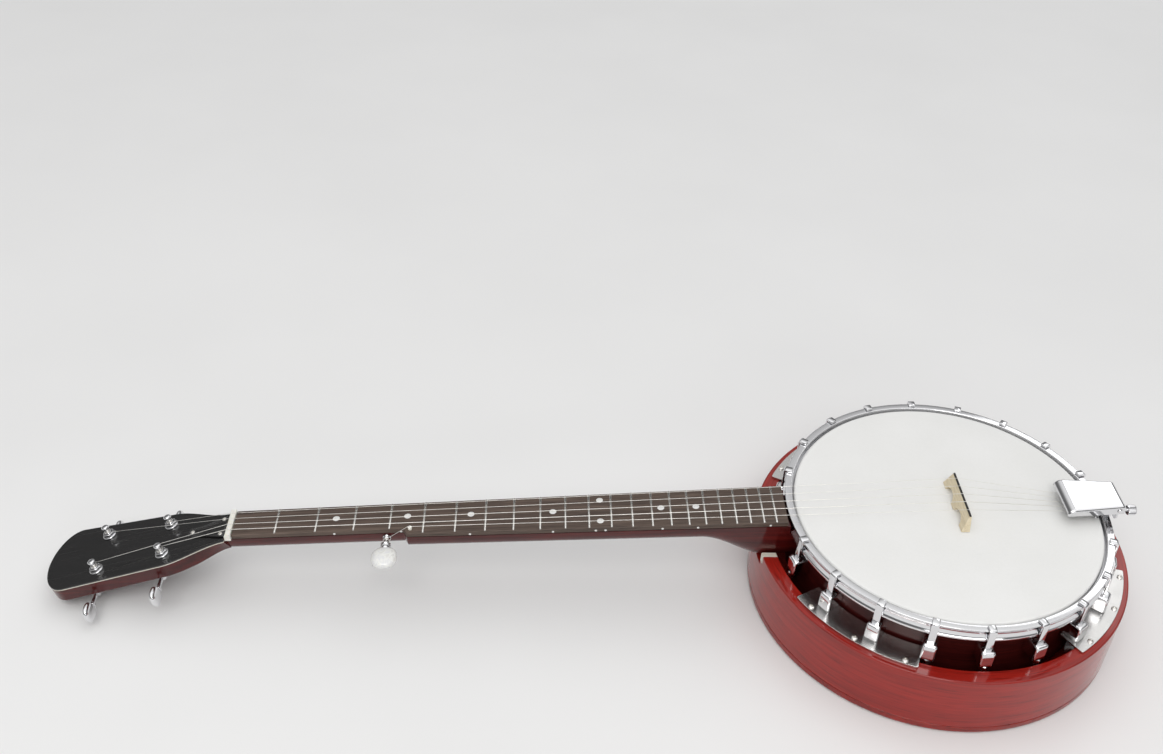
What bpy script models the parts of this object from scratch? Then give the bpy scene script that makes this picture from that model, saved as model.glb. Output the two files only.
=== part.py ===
"""Five-string resonator banjo lying on its back, as separate pieces.

Metres, +Z up. The origin is on the pot's axis, on the flat outside of the resonator back.
+X points to the tail, -X along the neck to the headstock, -Y to the fifth-string side.
"""
from math import asin, cos, pi, radians, sin, tan

import bmesh
import bpy
from mathutils import Matrix, Vector

# Fits
GAP = 0.0003                 # between pieces that rest on each other
RUN = 0.0003                 # radial clearance of a turning shaft
PASS = 0.0006                # radial clearance of a bolt or sleeve in its hole

# Resonator and flange plates
BACK_THICK = 0.008
SIDE_HEIGHT = 0.0572
SIDE_THICK = 0.0135
SIDE_INSIDE = 0.0060         # hook axis to the inside of the resonator side
BACK_EDGE_ROUND = 0.003
PLATE_THICK = 0.002
PLATE_HALF_SPAN = radians(21)
PLATE_TAIL_ANGLE = radians(36.5)
PLATE_NECK_ANGLE = radians(131)
PLATE_RIM_CLEAR = 0.0023
PLATE_EDGE_INSET = 0.0053
NOTCH_DEPTH = 0.0145
NOTCH_CLEAR = 0.0015

# Rim, head and tension hoop
RIM_OUTER_R = 0.1397
RIM_THICK = 0.016
RIM_HEIGHT = 0.0685
TONE_RING_WIDTH = 0.006
TONE_RING_HEIGHT = 0.0033
SKIN_THICK = 0.0006
FLESH_HOOP_WIDTH = 0.0034
FLESH_HOOP_HEIGHT = 0.005
HOOP_WALL = 0.0052
HOOP_LIP = 0.0018
HOOP_LIP_HEIGHT = 0.0052
HOOP_HEIGHT = 0.0125
HOOP_CHAMFER = 0.0008
HEAD_DROP = 0.001            # skin below the hoop's top

# Hooks, shoes and nuts
HOOK_PITCH = radians(18)
HOOKS_PER_SIDE = 9
HOOK_BAND = 0.0022
HOOK_WIDTH = 0.0064
HOOK_CLEAR = 0.0006
HOOK_REACH = 0.0199          # shoe top to hoop top
CLAW_LENGTH = 0.0055
HOOK_ROD_R = 0.0025
HOOK_TAIL = 0.003            # thread below the nut
SHOE_HEIGHT = 0.016
SHOE_WIDTH = 0.013
SHOE_LIP = 0.0045            # shoe beyond the hook's axis
SHOE_ROUND = 0.0022
NUT_R = 0.005
NUT_HEIGHT = 0.005

# Coordinator rod
ROD_R = 0.004
ROD_NUT_R = 0.007
ROD_NUT_THICK = 0.005
ROD_IN_HEEL = 0.025

# Neck, fingerboard and frets
NECK_ANGLE = radians(3.75)
BOARD_HOOP_CLEAR = 0.0015
BOARD_RISE = 0.0007          # board's pot end above the hoop's top
BOARD_THICK = 0.005
BOARD_NUT_HALF = 0.0173
BOARD_END_HALF = 0.0243
BOARD_NARROW = 0.0136        # fifth-string side, from the nut to the shoulder
SCALE_LENGTH = 0.670
FRETS = 22
LAST_FRET_INSET = 0.0103
FRET_WIDTH = 0.0022
FRET_HEIGHT = 0.001
FRET_END_INSET = 0.0005
PIP_BEHIND_FRET = 0.0113
SHOULDER_START = 0.0025      # from the pip towards the nut
SHOULDER_LENGTH = 0.004
NECK_DEPTH_NUT = 0.0155
NECK_DEPTH_HEEL = 0.0185
HEEL_FLAT = 0.016
HEEL_SWEEP = 0.062
NECK_INSET = 0.0002
SECTION_POWER = 0.7
TRUSS_SLOT_HALF = 0.0032
TRUSS_SLOT_DEPTH = 0.0075
TRUSS_ROD_R = 0.0027
TRUSS_ROD_START = 0.06
TRUSS_ROD_OVER = 0.012
TRUSS_SLOT_OVER = 0.018

# Nut, pip and bridge
NUT_LENGTH = 0.0055
NUT_RISE = 0.0018
NUT_FAR = 0.0176
NUT_NEAR = 0.0153
PIP_R = 0.0018
PIP_RISE = 0.003
PIP_Y = -0.0145
BRIDGE_X = 0.008
BRIDGE_HEIGHT = 0.0159
BRIDGE_HALF = 0.033
BRIDGE_BASE = 0.008
BRIDGE_TOP = 0.0028
BRIDGE_FOOT = 0.009
BRIDGE_ARCH = 0.0065
BRIDGE_END_INSET = 0.004

# Headstock
HEAD_ANGLE = radians(12.5)
HEAD_THICK = 0.013
HEAD_NUT_HALF = 0.0174
HEAD_FLARE_HALF = 0.0325
HEAD_WIDE_HALF = 0.0372
HEAD_LENGTH = 0.168
HEAD_FLARE_SHARE = 0.345      # of the headstock's length
HEAD_CROWN = 0.022
HEAD_BACK_INSET = 0.006
HEAD_BACK_BLEND = 0.03
HEAD_BLEND = 0.035           # how far the neck's round back runs under the headstock
VENEER_THICK = 0.002
COVER_THICK = 0.0015
COVER_LENGTH = 0.036
COVER_BASE_HALF = 0.0125
COVER_TIP_HALF = 0.0055

# Headstock tuners
TUNER_FRONT_SHARE = 0.335   # of the headstock's length, from the nut
TUNER_REAR_SHARE = 0.696
TUNER_FRONT_INSET = 0.0144   # from the headstock's edge
TUNER_REAR_INSET = 0.0141
BUSH_R = 0.0046
BUSH_WASHER_R = 0.006
BUSH_WASHER_HEIGHT = 0.0014
BUSH_NUT_R = 0.0052
BUSH_NUT_HEIGHT = 0.0026
POST_R = 0.003
POST_WAIST_R = 0.0023
POST_CAP_R = 0.0033
POST_HEIGHT = 0.0118
POST_WAIST_AT = 0.0066
WORM_TEETH = 14
WHEEL_PITCH_R = 0.0056
WHEEL_TIP_R = 0.0059
WHEEL_ROOT_R = 0.0047
WHEEL_FACE = 0.003
TOOTH_TIP_HALF = 0.00025
TOOTH_ROOT_HALF = 0.00045
WORM_PITCH_R = 0.0026
WORM_TIP_R = 0.003
WORM_TIP_HALF = 0.0002
WORM_ROOT_HALF = 0.00045
WORM_TURNS = 2.6
SHAFT_R = 0.002
TUNER_PLATE_THICK = 0.0012
TUNER_PLATE_HALF = 0.0075
TUNER_PLATE_BEHIND = 0.0085
LUG_AT = 0.0052
LUG_THICK = 0.0016
LUG_HALF = 0.0034
LUG_HEIGHT = 0.0075
WHEEL_DROP = 0.0037          # plate's underside to the wheel's mid plane
BUTTON_AT = 0.030            # post axis to button centre
BUTTON_SIZE = (0.0065, 0.0165, 0.0165)   # thick, along the shaft, wide
BUTTON_POWER = (0.8, 0.7, 0.8)           # lower is squarer

# Fifth-string peg
PEG_BEHIND_PIP = 0.0215
PEG_BELOW_BOARD = 0.0095
PEG_STEM_R = 0.003
PEG_STEM_LENGTH = 0.0086
PEG_COLLAR_R = 0.0036
PEG_COLLAR = 0.0011
PEG_CORE_R = 0.0015
PEG_SLEEVE_R = 0.0026
PEG_SLEEVE_RIM_R = 0.0034
PEG_SLEEVE = 0.0075
PEG_HOUSING_R = 0.0046
PEG_HOUSING = 0.0036
PEG_SOCKET = 0.0025
PEG_NECK = 0.0008
PEG_BUTTON_SIZE = (0.0227, 0.010, 0.0235)   # wide, thick, along the shaft
PEG_BUTTON_POWER = (0.85, 0.75, 0.85)

# Tailpiece
TAIL_FRONT_X = 0.1035
TAIL_FRONT_HALF = 0.0222
TAIL_REAR_HALF = 0.0175
TAIL_SHEET = 0.0015
TAIL_SKIRT_RISE = 0.009      # skirt's lower edge above the hoop's top
TAIL_FRONT_RISE = 0.016
TAIL_REAR_RISE = 0.0178
TAIL_FRONT_ROUND = 0.005
TAIL_REAR_ROUND = 0.0045
TAIL_TAB_HALF = 0.008
TAIL_TAB_DROP = 0.008        # tab below the hoop's top
TAIL_TAB_CLEAR = 0.004       # strap to tab
STRAP_CLEAR = 0.002
STRAP_THICK = 0.002
STRAP_HALF = 0.006
TAIL_BLOCK_HALF = 0.009
PIN_R = 0.002
PIN_RISE = 0.0132
PIN_OVERHANG = 0.0015
SCREW_R = 0.002
SCREW_RISE = -0.0024
KNOB_R = 0.0048
KNOB_LENGTH = 0.008
KNOB_FLUTES = 16
KNOB_FLUTE_DEPTH = 0.0004
SCREW_STAND = 0.0115         # tab to knob
ANCHOR_INSET = 0.0275        # anchor bar behind the front lip
ANCHOR_THICK = 0.003
ANCHOR_DROP = 0.004
ANCHOR_RISE = 0.002
ANCHOR_STRING_GAP = 0.0012
STRING_LIP_DROP = 0.0022     # strings below the tailpiece's front lip

# Strings, first to fifth
STRING_R = (0.0002, 0.0002, 0.00025, 0.0003, 0.0002)
NUT_SPACING = 0.007
NUT_STRING_SHIFT = 0.002
BRIDGE_SPACING = 0.0105
TAIL_SPACING = 0.006

# Facets
RING_STEPS = 60
SMALL_STEPS = 12
SECTION_STEPS = 13           # odd, so that no edge lies on the centre line

# Radii that follow from the rim outwards
RIM_INNER_R = RIM_OUTER_R - RIM_THICK
SKIRT_R = RIM_OUTER_R + GAP
FLESH_INNER_R = SKIRT_R + SKIN_THICK
FLESH_OUTER_R = FLESH_INNER_R + FLESH_HOOP_WIDTH
HOOP_INNER_R = FLESH_OUTER_R + GAP
HOOP_OUTER_R = HOOP_INNER_R + HOOP_WALL
HOOP_LIP_R = HOOP_INNER_R - HOOP_LIP
BAND_R = HOOP_OUTER_R + HOOK_CLEAR
HOOK_R = BAND_R + HOOK_ROD_R
SIDE_INNER_R = HOOK_R + SIDE_INSIDE
SIDE_OUTER_R = SIDE_INNER_R + SIDE_THICK

# Heights that follow from the resting plane upwards
SIDE_BOTTOM = BACK_THICK + GAP
SIDE_TOP = SIDE_BOTTOM + SIDE_HEIGHT
PLATE_BOTTOM = SIDE_TOP + GAP
PLATE_TOP = PLATE_BOTTOM + PLATE_THICK
SHOE_BOTTOM = PLATE_TOP + GAP
SHOE_TOP = SHOE_BOTTOM + SHOE_HEIGHT
HOOP_TOP = SHOE_TOP + HOOK_REACH
HOOP_BOTTOM = HOOP_TOP - HOOP_HEIGHT
HEAD_TOP = HOOP_TOP - HEAD_DROP
TONE_RING_TOP = HEAD_TOP - SKIN_THICK - GAP
RIM_TOP = TONE_RING_TOP - TONE_RING_HEIGHT - GAP
RIM_BOTTOM = RIM_TOP - RIM_HEIGHT
FLESH_TOP = HOOP_TOP - HOOP_LIP_HEIGHT - GAP
ROD_Z = SHOE_BOTTOM + SHOE_HEIGHT / 2
HEEL_BOTTOM = SIDE_TOP - NOTCH_DEPTH + NOTCH_CLEAR

# Distances along the neck, from the board's pot end towards the nut
NUT_AT = LAST_FRET_INSET + SCALE_LENGTH * (1 - 2 ** (-FRETS / 12))
HEAD_AT = NUT_AT + NUT_LENGTH + 2 * GAP
HEAD_FLARE_END = HEAD_LENGTH * HEAD_FLARE_SHARE
HEAD_WIDE_AT = HEAD_LENGTH - HEAD_CROWN
NECK_TOP = -BOARD_THICK - GAP


def fret_at(number):
    """Distance of a fret from the board's pot end."""
    return NUT_AT - SCALE_LENGTH * (1 - 2 ** (-number / 12))


PIP_AT = fret_at(5) + PIP_BEHIND_FRET
PEG_AT = PIP_AT + PEG_BEHIND_PIP
VENEER_TOP = GAP + VENEER_THICK
PLATE_BACK = -HEAD_THICK - GAP              # tuner plate's upper face, in the headstock's frame
WHEEL_Z = PLATE_BACK - TUNER_PLATE_THICK - WHEEL_DROP
WORM_OFFSET = WHEEL_PITCH_R + WORM_PITCH_R
WORM_SIDE = Matrix.Rotation(pi, 4, "Z")   # turns each worm to the crown side of its post
WORM_PITCH = 2 * pi * WHEEL_PITCH_R / WORM_TEETH

# Tailpiece places
STRAP_X = HOOP_OUTER_R + STRAP_CLEAR
PIN = Vector((STRAP_X + STRAP_THICK / 2, 0, HOOP_TOP + PIN_RISE))
TAB_X = STRAP_X + STRAP_THICK + TAIL_TAB_CLEAR
SCREW_Z = HOOP_TOP + SCREW_RISE
SKIRT_Z = HOOP_TOP + TAIL_SKIRT_RISE

# Frames of the neck, the headstock and the fifth-string peg
NECK_FRAME = (Matrix.Translation((-(HOOP_OUTER_R + BOARD_HOOP_CLEAR), 0, HOOP_TOP + BOARD_RISE))
              @ Matrix.Rotation(-NECK_ANGLE, 4, "Y"))
HEAD_FRAME = (NECK_FRAME @ Matrix.Translation((-HEAD_AT, 0, NECK_TOP))
              @ Matrix.Rotation(-HEAD_ANGLE, 4, "Y"))
PEG_FRAME = (NECK_FRAME @ Matrix.Translation((-PEG_AT, -BOARD_NARROW, -PEG_BELOW_BOARD))
             @ Matrix.Rotation(pi / 2, 4, "X"))


# Shape helpers

def mesh_from(shape, name="shape"):
    """Turn a bmesh into mesh data with its faces pointing out."""
    bmesh.ops.recalc_face_normals(shape, faces=shape.faces)
    mesh = bpy.data.meshes.new(name)
    shape.to_mesh(mesh)
    shape.free()
    return mesh


def turned(profile, steps, on_axis=False):
    """Spin a profile of (radius, height) points about Z; it is a closed loop unless it ends on the axis."""
    shape = bmesh.new()
    points = [shape.verts.new((radius, 0, height)) for radius, height in profile]
    edges = [shape.edges.new(pair) for pair in zip(points, points[1:])]
    if not on_axis:
        edges.append(shape.edges.new((points[-1], points[0])))
    bmesh.ops.spin(shape, geom=points + edges, cent=(0, 0, 0), axis=(0, 0, 1),
                   angle=2 * pi, steps=steps, use_merge=True)
    bmesh.ops.remove_doubles(shape, verts=shape.verts, dist=1e-6)
    return mesh_from(shape)


def loft(rings):
    """Skin a list of point rings of equal length and close both ends."""
    shape = bmesh.new()
    rows = [[shape.verts.new(point) for point in ring] for ring in rings]
    for row, after in zip(rows, rows[1:]):
        for index, vert in enumerate(row):
            follow = (index + 1) % len(row)
            shape.faces.new((vert, row[follow], after[follow], after[index]))
    shape.faces.new(rows[0])
    shape.faces.new(rows[-1])
    return mesh_from(shape)


def prism(outline, bottom, top):
    """Extrude a plane outline of (x, y) points between two heights."""
    shape = bmesh.new()
    face = shape.faces.new([shape.verts.new((x, y, bottom)) for x, y in outline])
    risen = bmesh.ops.extrude_face_region(shape, geom=[face])
    lifted = [item for item in risen["geom"] if isinstance(item, bmesh.types.BMVert)]
    bmesh.ops.translate(shape, verts=lifted, vec=(0, 0, top - bottom))
    return mesh_from(shape)


def side_prism(outline, half_width):
    """Extrude an (x, z) outline from -Y to +Y."""
    mesh = prism([(x, z) for x, z in outline], -half_width, half_width)
    mesh.transform(Matrix.Rotation(pi / 2, 4, "X"))
    return mesh


def box(low, high):
    """A block between two corners."""
    shape = bmesh.new()
    size = Vector(high) - Vector(low)
    middle = (Vector(high) + Vector(low)) / 2
    bmesh.ops.create_cube(shape, size=1, matrix=Matrix.Translation(middle) @ Matrix.Diagonal((*size, 1)))
    return mesh_from(shape)


def cylinder(radius, start, end, steps=SMALL_STEPS):
    """A round bar from one point to another."""
    start, end = Vector(start), Vector(end)
    along = end - start
    turn = along.to_track_quat("Z", "Y").to_matrix().to_4x4()
    shape = bmesh.new()
    bmesh.ops.create_cone(shape, cap_ends=True, segments=steps, radius1=radius, radius2=radius,
                          depth=along.length, matrix=Matrix.Translation((start + end) / 2) @ turn)
    return mesh_from(shape)


def rounded(mesh, width, segments, chosen):
    """Bevel the edges that a test on their two ends picks out."""
    shape = bmesh.new()
    shape.from_mesh(mesh)
    edges = [edge for edge in shape.edges if chosen(edge.verts[0].co, edge.verts[1].co)]
    bmesh.ops.bevel(shape, geom=edges, offset=width, segments=segments, profile=0.5, affect="EDGES")
    return mesh_from(shape)


def combined(base, operation, tools):
    """Apply Boolean operations of one kind to a mesh and return the resulting mesh."""
    helpers = [bpy.data.objects.new("helper", mesh) for mesh in (base, *tools)]
    for helper in helpers:
        bpy.context.collection.objects.link(helper)
    for tool in helpers[1:]:
        step = helpers[0].modifiers.new(operation, "BOOLEAN")
        step.operation = operation
        step.object = tool
    view = bpy.context.evaluated_depsgraph_get()
    result = bpy.data.meshes.new_from_object(helpers[0].evaluated_get(view))
    for helper in helpers:
        bpy.data.objects.remove(helper)
    return result


def joined(base, *tools):
    """One body from overlapping bodies."""
    return combined(base, "UNION", tools)


def cut(base, *tools):
    """A body with others taken away from it."""
    return combined(base, "DIFFERENCE", tools)


def moved(mesh, matrix):
    """A mesh after a move, for use as a tool in another frame."""
    mesh.transform(matrix)
    return mesh


def material(name, colour, roughness, metallic=0.0):
    """A Principled material of one colour."""
    made = bpy.data.materials.new(name)
    made.use_nodes = True
    shader = made.node_tree.nodes["Principled BSDF"]
    shader.inputs["Base Color"].default_value = (*colour, 1)
    shader.inputs["Roughness"].default_value = roughness
    shader.inputs["Metallic"].default_value = metallic
    return made


def frame(name, matrix):
    """An empty that carries the pieces built in its frame."""
    empty = bpy.data.objects.new(name, None)
    empty.matrix_world = matrix
    bpy.context.collection.objects.link(empty)
    return empty


def piece(name, mesh, finish, carrier=None, smooth_below=radians(35)):
    """A named sub-part with its material, in its carrier's frame."""
    mesh.name = name
    mesh.materials.clear()
    mesh.materials.append(finish)
    mesh.shade_smooth()
    mesh.set_sharp_from_angle(angle=smooth_below)
    made = bpy.data.objects.new(name, mesh)
    bpy.context.collection.objects.link(made)
    made.parent = carrier
    return made


def arc(centre_x, centre_y, radius, start, end, steps):
    """Points of a plane arc, both ends included."""
    angles = [start + (end - start) * step / steps for step in range(steps + 1)]
    return [(centre_x + radius * cos(angle), centre_y + radius * sin(angle)) for angle in angles]


def smoothstep(value):
    """An S-curve from 0 to 1."""
    value = min(max(value, 0), 1)
    return value * value * (3 - 2 * value)


def blend(start, end, share):
    """A value part of the way between two others."""
    return start + (end - start) * share


# Resonator and flange plates

def resonator_back():
    """Flat round back with a rounded lower edge."""
    edge = arc(SIDE_OUTER_R - BACK_EDGE_ROUND, BACK_EDGE_ROUND, BACK_EDGE_ROUND, 0, -pi / 2, 3)
    profile = [(0, BACK_THICK), (SIDE_OUTER_R, BACK_THICK), *edge, (0, 0)]
    return turned(profile, RING_STEPS, on_axis=True)


def resonator_side():
    """Bent wooden wall with the notch that the neck's heel sits in."""
    ring = turned([(SIDE_INNER_R, SIDE_TOP), (SIDE_OUTER_R, SIDE_TOP),
                   (SIDE_OUTER_R, SIDE_BOTTOM), (SIDE_INNER_R, SIDE_BOTTOM)], RING_STEPS)
    half = BOARD_END_HALF - NOTCH_CLEAR
    notch = box((-SIDE_OUTER_R - SIDE_THICK, -half, SIDE_TOP - NOTCH_DEPTH),
                (-SIDE_INNER_R + SIDE_THICK, half, SIDE_TOP + NOTCH_DEPTH))
    return cut(ring, notch)


def hook_angles():
    """Angles of the hooks, from the tail on both sides; the neck and the tail have none."""
    side = [HOOK_PITCH * number for number in range(1, HOOKS_PER_SIDE + 1)]
    return side + [-angle for angle in reversed(side)]


def plate_angles():
    """Middle angles of the flange plates."""
    return (PLATE_TAIL_ANGLE, PLATE_NECK_ANGLE, -PLATE_NECK_ANGLE, -PLATE_TAIL_ANGLE)


def holds_plate(angle):
    """Whether a hook passes through a flange plate."""
    room = PLATE_HALF_SPAN - asin((HOOK_ROD_R + PASS) / HOOK_R)
    return any(abs(angle - middle) < room for middle in plate_angles())


def flange_plate(middle):
    """Curved plate from the rim to the resonator side, with holes for its hooks."""
    inner = RIM_OUTER_R + PLATE_RIM_CLEAR
    outer = SIDE_OUTER_R - PLATE_EDGE_INSET
    low, high = middle - PLATE_HALF_SPAN, middle + PLATE_HALF_SPAN
    outline = arc(0, 0, outer, low, high, 10) + arc(0, 0, inner, high, low, 10)
    holes = []
    for angle in hook_angles():
        if low < angle < high and holds_plate(angle):
            x, y = HOOK_R * cos(angle), HOOK_R * sin(angle)
            holes.append(cylinder(HOOK_ROD_R + PASS, (x, y, PLATE_BOTTOM - PLATE_THICK),
                                  (x, y, PLATE_TOP + PLATE_THICK), steps=10))
    return cut(prism(outline, PLATE_BOTTOM, PLATE_TOP), *holes)


# Rim, head and hoop

def rim():
    """Wooden shell with the coordinator rod's two holes."""
    shell = turned([(RIM_INNER_R, RIM_TOP), (RIM_OUTER_R, RIM_TOP),
                    (RIM_OUTER_R, RIM_BOTTOM), (RIM_INNER_R, RIM_BOTTOM)], RING_STEPS)
    bore = cylinder(ROD_R + PASS, (-2 * RIM_OUTER_R, 0, ROD_Z), (2 * RIM_OUTER_R, 0, ROD_Z))
    return cut(shell, bore)


def tone_ring():
    """Metal ring with a round crown, on the rim's outer edge."""
    bottom = TONE_RING_TOP - TONE_RING_HEIGHT
    outer = RIM_OUTER_R - GAP
    crown = arc(outer - TONE_RING_HEIGHT / 2, TONE_RING_TOP - TONE_RING_HEIGHT / 2,
                TONE_RING_HEIGHT / 2, pi / 2, 0, 2)
    return turned([(outer - TONE_RING_WIDTH, TONE_RING_TOP), *crown, (outer, bottom),
                   (outer - TONE_RING_WIDTH, bottom)], RING_STEPS)


def drum_head():
    """Stretched skin, its skirt over the rim's edge and its flesh hoop."""
    bend = 2 * SKIN_THICK
    skirt_outer = SKIRT_R + SKIN_THICK
    profile = [(0, HEAD_TOP), (skirt_outer - bend, HEAD_TOP), (skirt_outer, HEAD_TOP - bend),
               (skirt_outer, FLESH_TOP), (FLESH_OUTER_R, FLESH_TOP),
               (FLESH_OUTER_R, FLESH_TOP - FLESH_HOOP_HEIGHT), (SKIRT_R, FLESH_TOP - FLESH_HOOP_HEIGHT),
               (SKIRT_R, HEAD_TOP - bend), (SKIRT_R - bend / 2, HEAD_TOP - SKIN_THICK),
               (0, HEAD_TOP - SKIN_THICK)]
    return turned(profile, RING_STEPS, on_axis=True)


def tension_hoop():
    """Hoop with an inner lip that bears on the flesh hoop."""
    lip_bottom = HOOP_TOP - HOOP_LIP_HEIGHT
    profile = [(HOOP_LIP_R, HOOP_TOP - HOOP_CHAMFER), (HOOP_LIP_R + HOOP_CHAMFER, HOOP_TOP),
               (HOOP_OUTER_R - HOOP_CHAMFER, HOOP_TOP), (HOOP_OUTER_R, HOOP_TOP - HOOP_CHAMFER),
               (HOOP_OUTER_R, HOOP_BOTTOM), (HOOP_INNER_R, HOOP_BOTTOM), (HOOP_INNER_R, lip_bottom),
               (HOOP_LIP_R, lip_bottom)]
    return turned(profile, RING_STEPS)


def tension_bracket(through_plate):
    """Flat hook over the hoop, its shoe on the rim and its nut, on the +X side of the pot."""
    shoe = box((RIM_OUTER_R + GAP, -SHOE_WIDTH / 2, SHOE_BOTTOM),
               (HOOK_R + SHOE_LIP, SHOE_WIDTH / 2, SHOE_TOP))
    outside = HOOK_R + SHOE_LIP - SHOE_ROUND
    shoe = rounded(shoe, SHOE_ROUND, 1, lambda a, b: min(a.x, b.x) > outside)
    claw_bottom = HOOP_TOP + GAP
    claw_top = claw_bottom + HOOK_BAND
    claw_tip = HOOP_OUTER_R - CLAW_LENGTH
    band_back = BAND_R + HOOK_BAND
    corner = HOOK_BAND / 2
    foot = SHOE_TOP - HOOK_ROD_R
    band = side_prism([(claw_tip, claw_bottom), (BAND_R, claw_bottom), (BAND_R, foot), (band_back, foot),
                       (band_back, claw_top - corner), (band_back - corner, claw_top),
                       (claw_tip, claw_top)], HOOK_WIDTH / 2)
    nut_top = PLATE_BOTTOM - GAP if through_plate else SHOE_BOTTOM + GAP
    nut_bottom = nut_top - NUT_HEIGHT
    rod = cylinder(HOOK_ROD_R, (HOOK_R, 0, nut_bottom - HOOK_TAIL),
                   (HOOK_R, 0, SHOE_BOTTOM + HOOK_ROD_R), steps=10)
    nut = cylinder(NUT_R, (HOOK_R, 0, nut_bottom), (HOOK_R, 0, nut_top), steps=6)
    return joined(shoe, band, rod, nut)


def coordinator_rod():
    """Rod through the pot that holds the neck and the tail hanger, with its nuts."""
    heel_end = -(RIM_OUTER_R + ROD_IN_HEEL)
    hanger_face = STRAP_X + STRAP_THICK + GAP
    tail_end = hanger_face + ROD_NUT_THICK + ROD_R / 2
    inside = RIM_INNER_R - PASS - ROD_NUT_THICK
    nuts = [cylinder(ROD_NUT_R, (start, 0, ROD_Z), (start + ROD_NUT_THICK, 0, ROD_Z), steps=6)
            for start in (-inside - ROD_NUT_THICK, inside, hanger_face)]
    return joined(cylinder(ROD_R, (heel_end, 0, ROD_Z), (tail_end, 0, ROD_Z)), *nuts)


# Neck and fingerboard, in the neck's frame

def board_far(distance):
    """Half width of the board on the first-string side."""
    return blend(BOARD_END_HALF, BOARD_NUT_HALF, distance / NUT_AT)


def board_near(distance):
    """Half width of the board on the fifth-string side, with its shoulder."""
    share = smoothstep((distance - PIP_AT - SHOULDER_START) / SHOULDER_LENGTH)
    return blend(board_far(distance), BOARD_NARROW, share)


def shoulder_stations():
    """Distances that follow the shoulder's curve."""
    start = PIP_AT + SHOULDER_START
    return [start + SHOULDER_LENGTH * step / 4 for step in range(5)]


def fingerboard():
    """Board with its frets pressed in."""
    stations = [0, *shoulder_stations(), NUT_AT]
    outline = [(-distance, -board_near(distance)) for distance in stations]
    outline += [(-NUT_AT, board_far(NUT_AT)), (0, board_far(0))]
    board = prism(outline, -BOARD_THICK, 0)
    bars = []
    for number in range(1, FRETS + 1):
        middle = fret_at(number)
        half = FRET_WIDTH / 2
        bars.append(box((-middle - half, -board_near(middle) + FRET_END_INSET, -FRET_HEIGHT),
                        (-middle + half, board_far(middle) - FRET_END_INSET, FRET_HEIGHT)))
    return joined(board, *bars)


def neck_bottom(distance):
    """Height of the neck's back below the board's top, with the heel's sweep."""
    depth = blend(NECK_DEPTH_HEEL, NECK_DEPTH_NUT, distance / NUT_AT)
    slim = NECK_TOP - depth
    heel = HEEL_BOTTOM - HOOP_TOP - BOARD_RISE
    return blend(heel, slim, smoothstep((distance - HEEL_FLAT) / HEEL_SWEEP))


def section(distance, top, bottom, far, near):
    """Ring of points of a flat-topped, round-backed neck section."""
    middle, half = (far - near) / 2, (far + near) / 2
    ring = []
    for step in range(SECTION_STEPS + 1):
        turn = pi * step / SECTION_STEPS
        side = cos(turn)
        spread = abs(side) ** SECTION_POWER * (1 if side > 0 else -1)
        depth = abs(sin(turn)) ** SECTION_POWER
        ring.append((-distance, middle + half * spread, blend(top, bottom, depth)))
    return ring


def neck_shaft():
    """Round-backed shaft from inside the pot's outline to under the headstock."""
    stations = [-2 * HOOP_WALL - HOOK_CLEAR, 0]
    stations += [HEEL_FLAT + HEEL_SWEEP * step / 8 for step in range(9)]
    stations += [blend(HEEL_FLAT + HEEL_SWEEP, PIP_AT, share) for share in (0.35, 0.7)]
    stations += shoulder_stations() + [blend(PEG_AT, NUT_AT, 0.5), NUT_AT, HEAD_AT + GAP]
    rings = []
    for distance in stations:
        reach = min(distance, NUT_AT)
        rings.append(section(distance, NECK_TOP, neck_bottom(reach),
                             board_far(reach) - NECK_INSET, board_near(reach) - NECK_INSET))
    last_bottom = neck_bottom(NUT_AT)
    for share in (0.25, 0.5, 0.75, 1):
        along = HEAD_BLEND * share
        face = NECK_TOP - along * tan(HEAD_ANGLE)
        back = face - HEAD_THICK / cos(HEAD_ANGLE) + 2 * GAP
        half = blend(BOARD_NARROW, HEAD_NUT_HALF, share)
        bottom = blend(last_bottom, back, share)
        rings.append(section(HEAD_AT + along, face - HEAD_THICK / 4, bottom, half, half))
    return loft(rings)


def headstock_half(along):
    """Half width of the headstock at a distance from the nut."""
    if along < HEAD_FLARE_END:
        return blend(HEAD_NUT_HALF, HEAD_FLARE_HALF, smoothstep(along / HEAD_FLARE_END))
    return blend(HEAD_FLARE_HALF, HEAD_WIDE_HALF, (along - HEAD_FLARE_END) / (HEAD_WIDE_AT - HEAD_FLARE_END))


def tuner_places():
    """Distance from the nut and from the centre line of each post, first string to fourth."""
    front, rear = HEAD_LENGTH * TUNER_FRONT_SHARE, HEAD_LENGTH * TUNER_REAR_SHARE
    front_y = headstock_half(front) - TUNER_FRONT_INSET
    rear_y = headstock_half(rear) - TUNER_REAR_INSET
    return ((front, front_y), (rear, rear_y), (rear, -rear_y), (front, -front_y))


def headstock_outline(start=0, back=False):
    """Symmetrical outline with a flare at the nut and an arched crown, in the headstock's frame."""
    side = []
    for along in [start] + [HEAD_FLARE_END * step / 8 for step in range(1, 9)] + [HEAD_WIDE_AT]:
        inset = HEAD_BACK_INSET * (1 - smoothstep(along / HEAD_BACK_BLEND)) if back else 0
        side.append((-along, headstock_half(along) - inset))
    crown = []
    for step in range(1, 10):
        turn = pi * step / 10
        crown.append((-blend(HEAD_WIDE_AT, HEAD_LENGTH, sin(turn)), HEAD_WIDE_HALF * cos(turn)))
    return side + crown + [(x, -y) for x, y in reversed(side)]


def headstock():
    """Flat headstock whose back narrows into the neck."""
    start = -2 * GAP
    face = [(x, y, 0) for x, y in headstock_outline(start)]
    back = [(x, y, -HEAD_THICK) for x, y in headstock_outline(start, back=True)]
    return loft([face, back])


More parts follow.
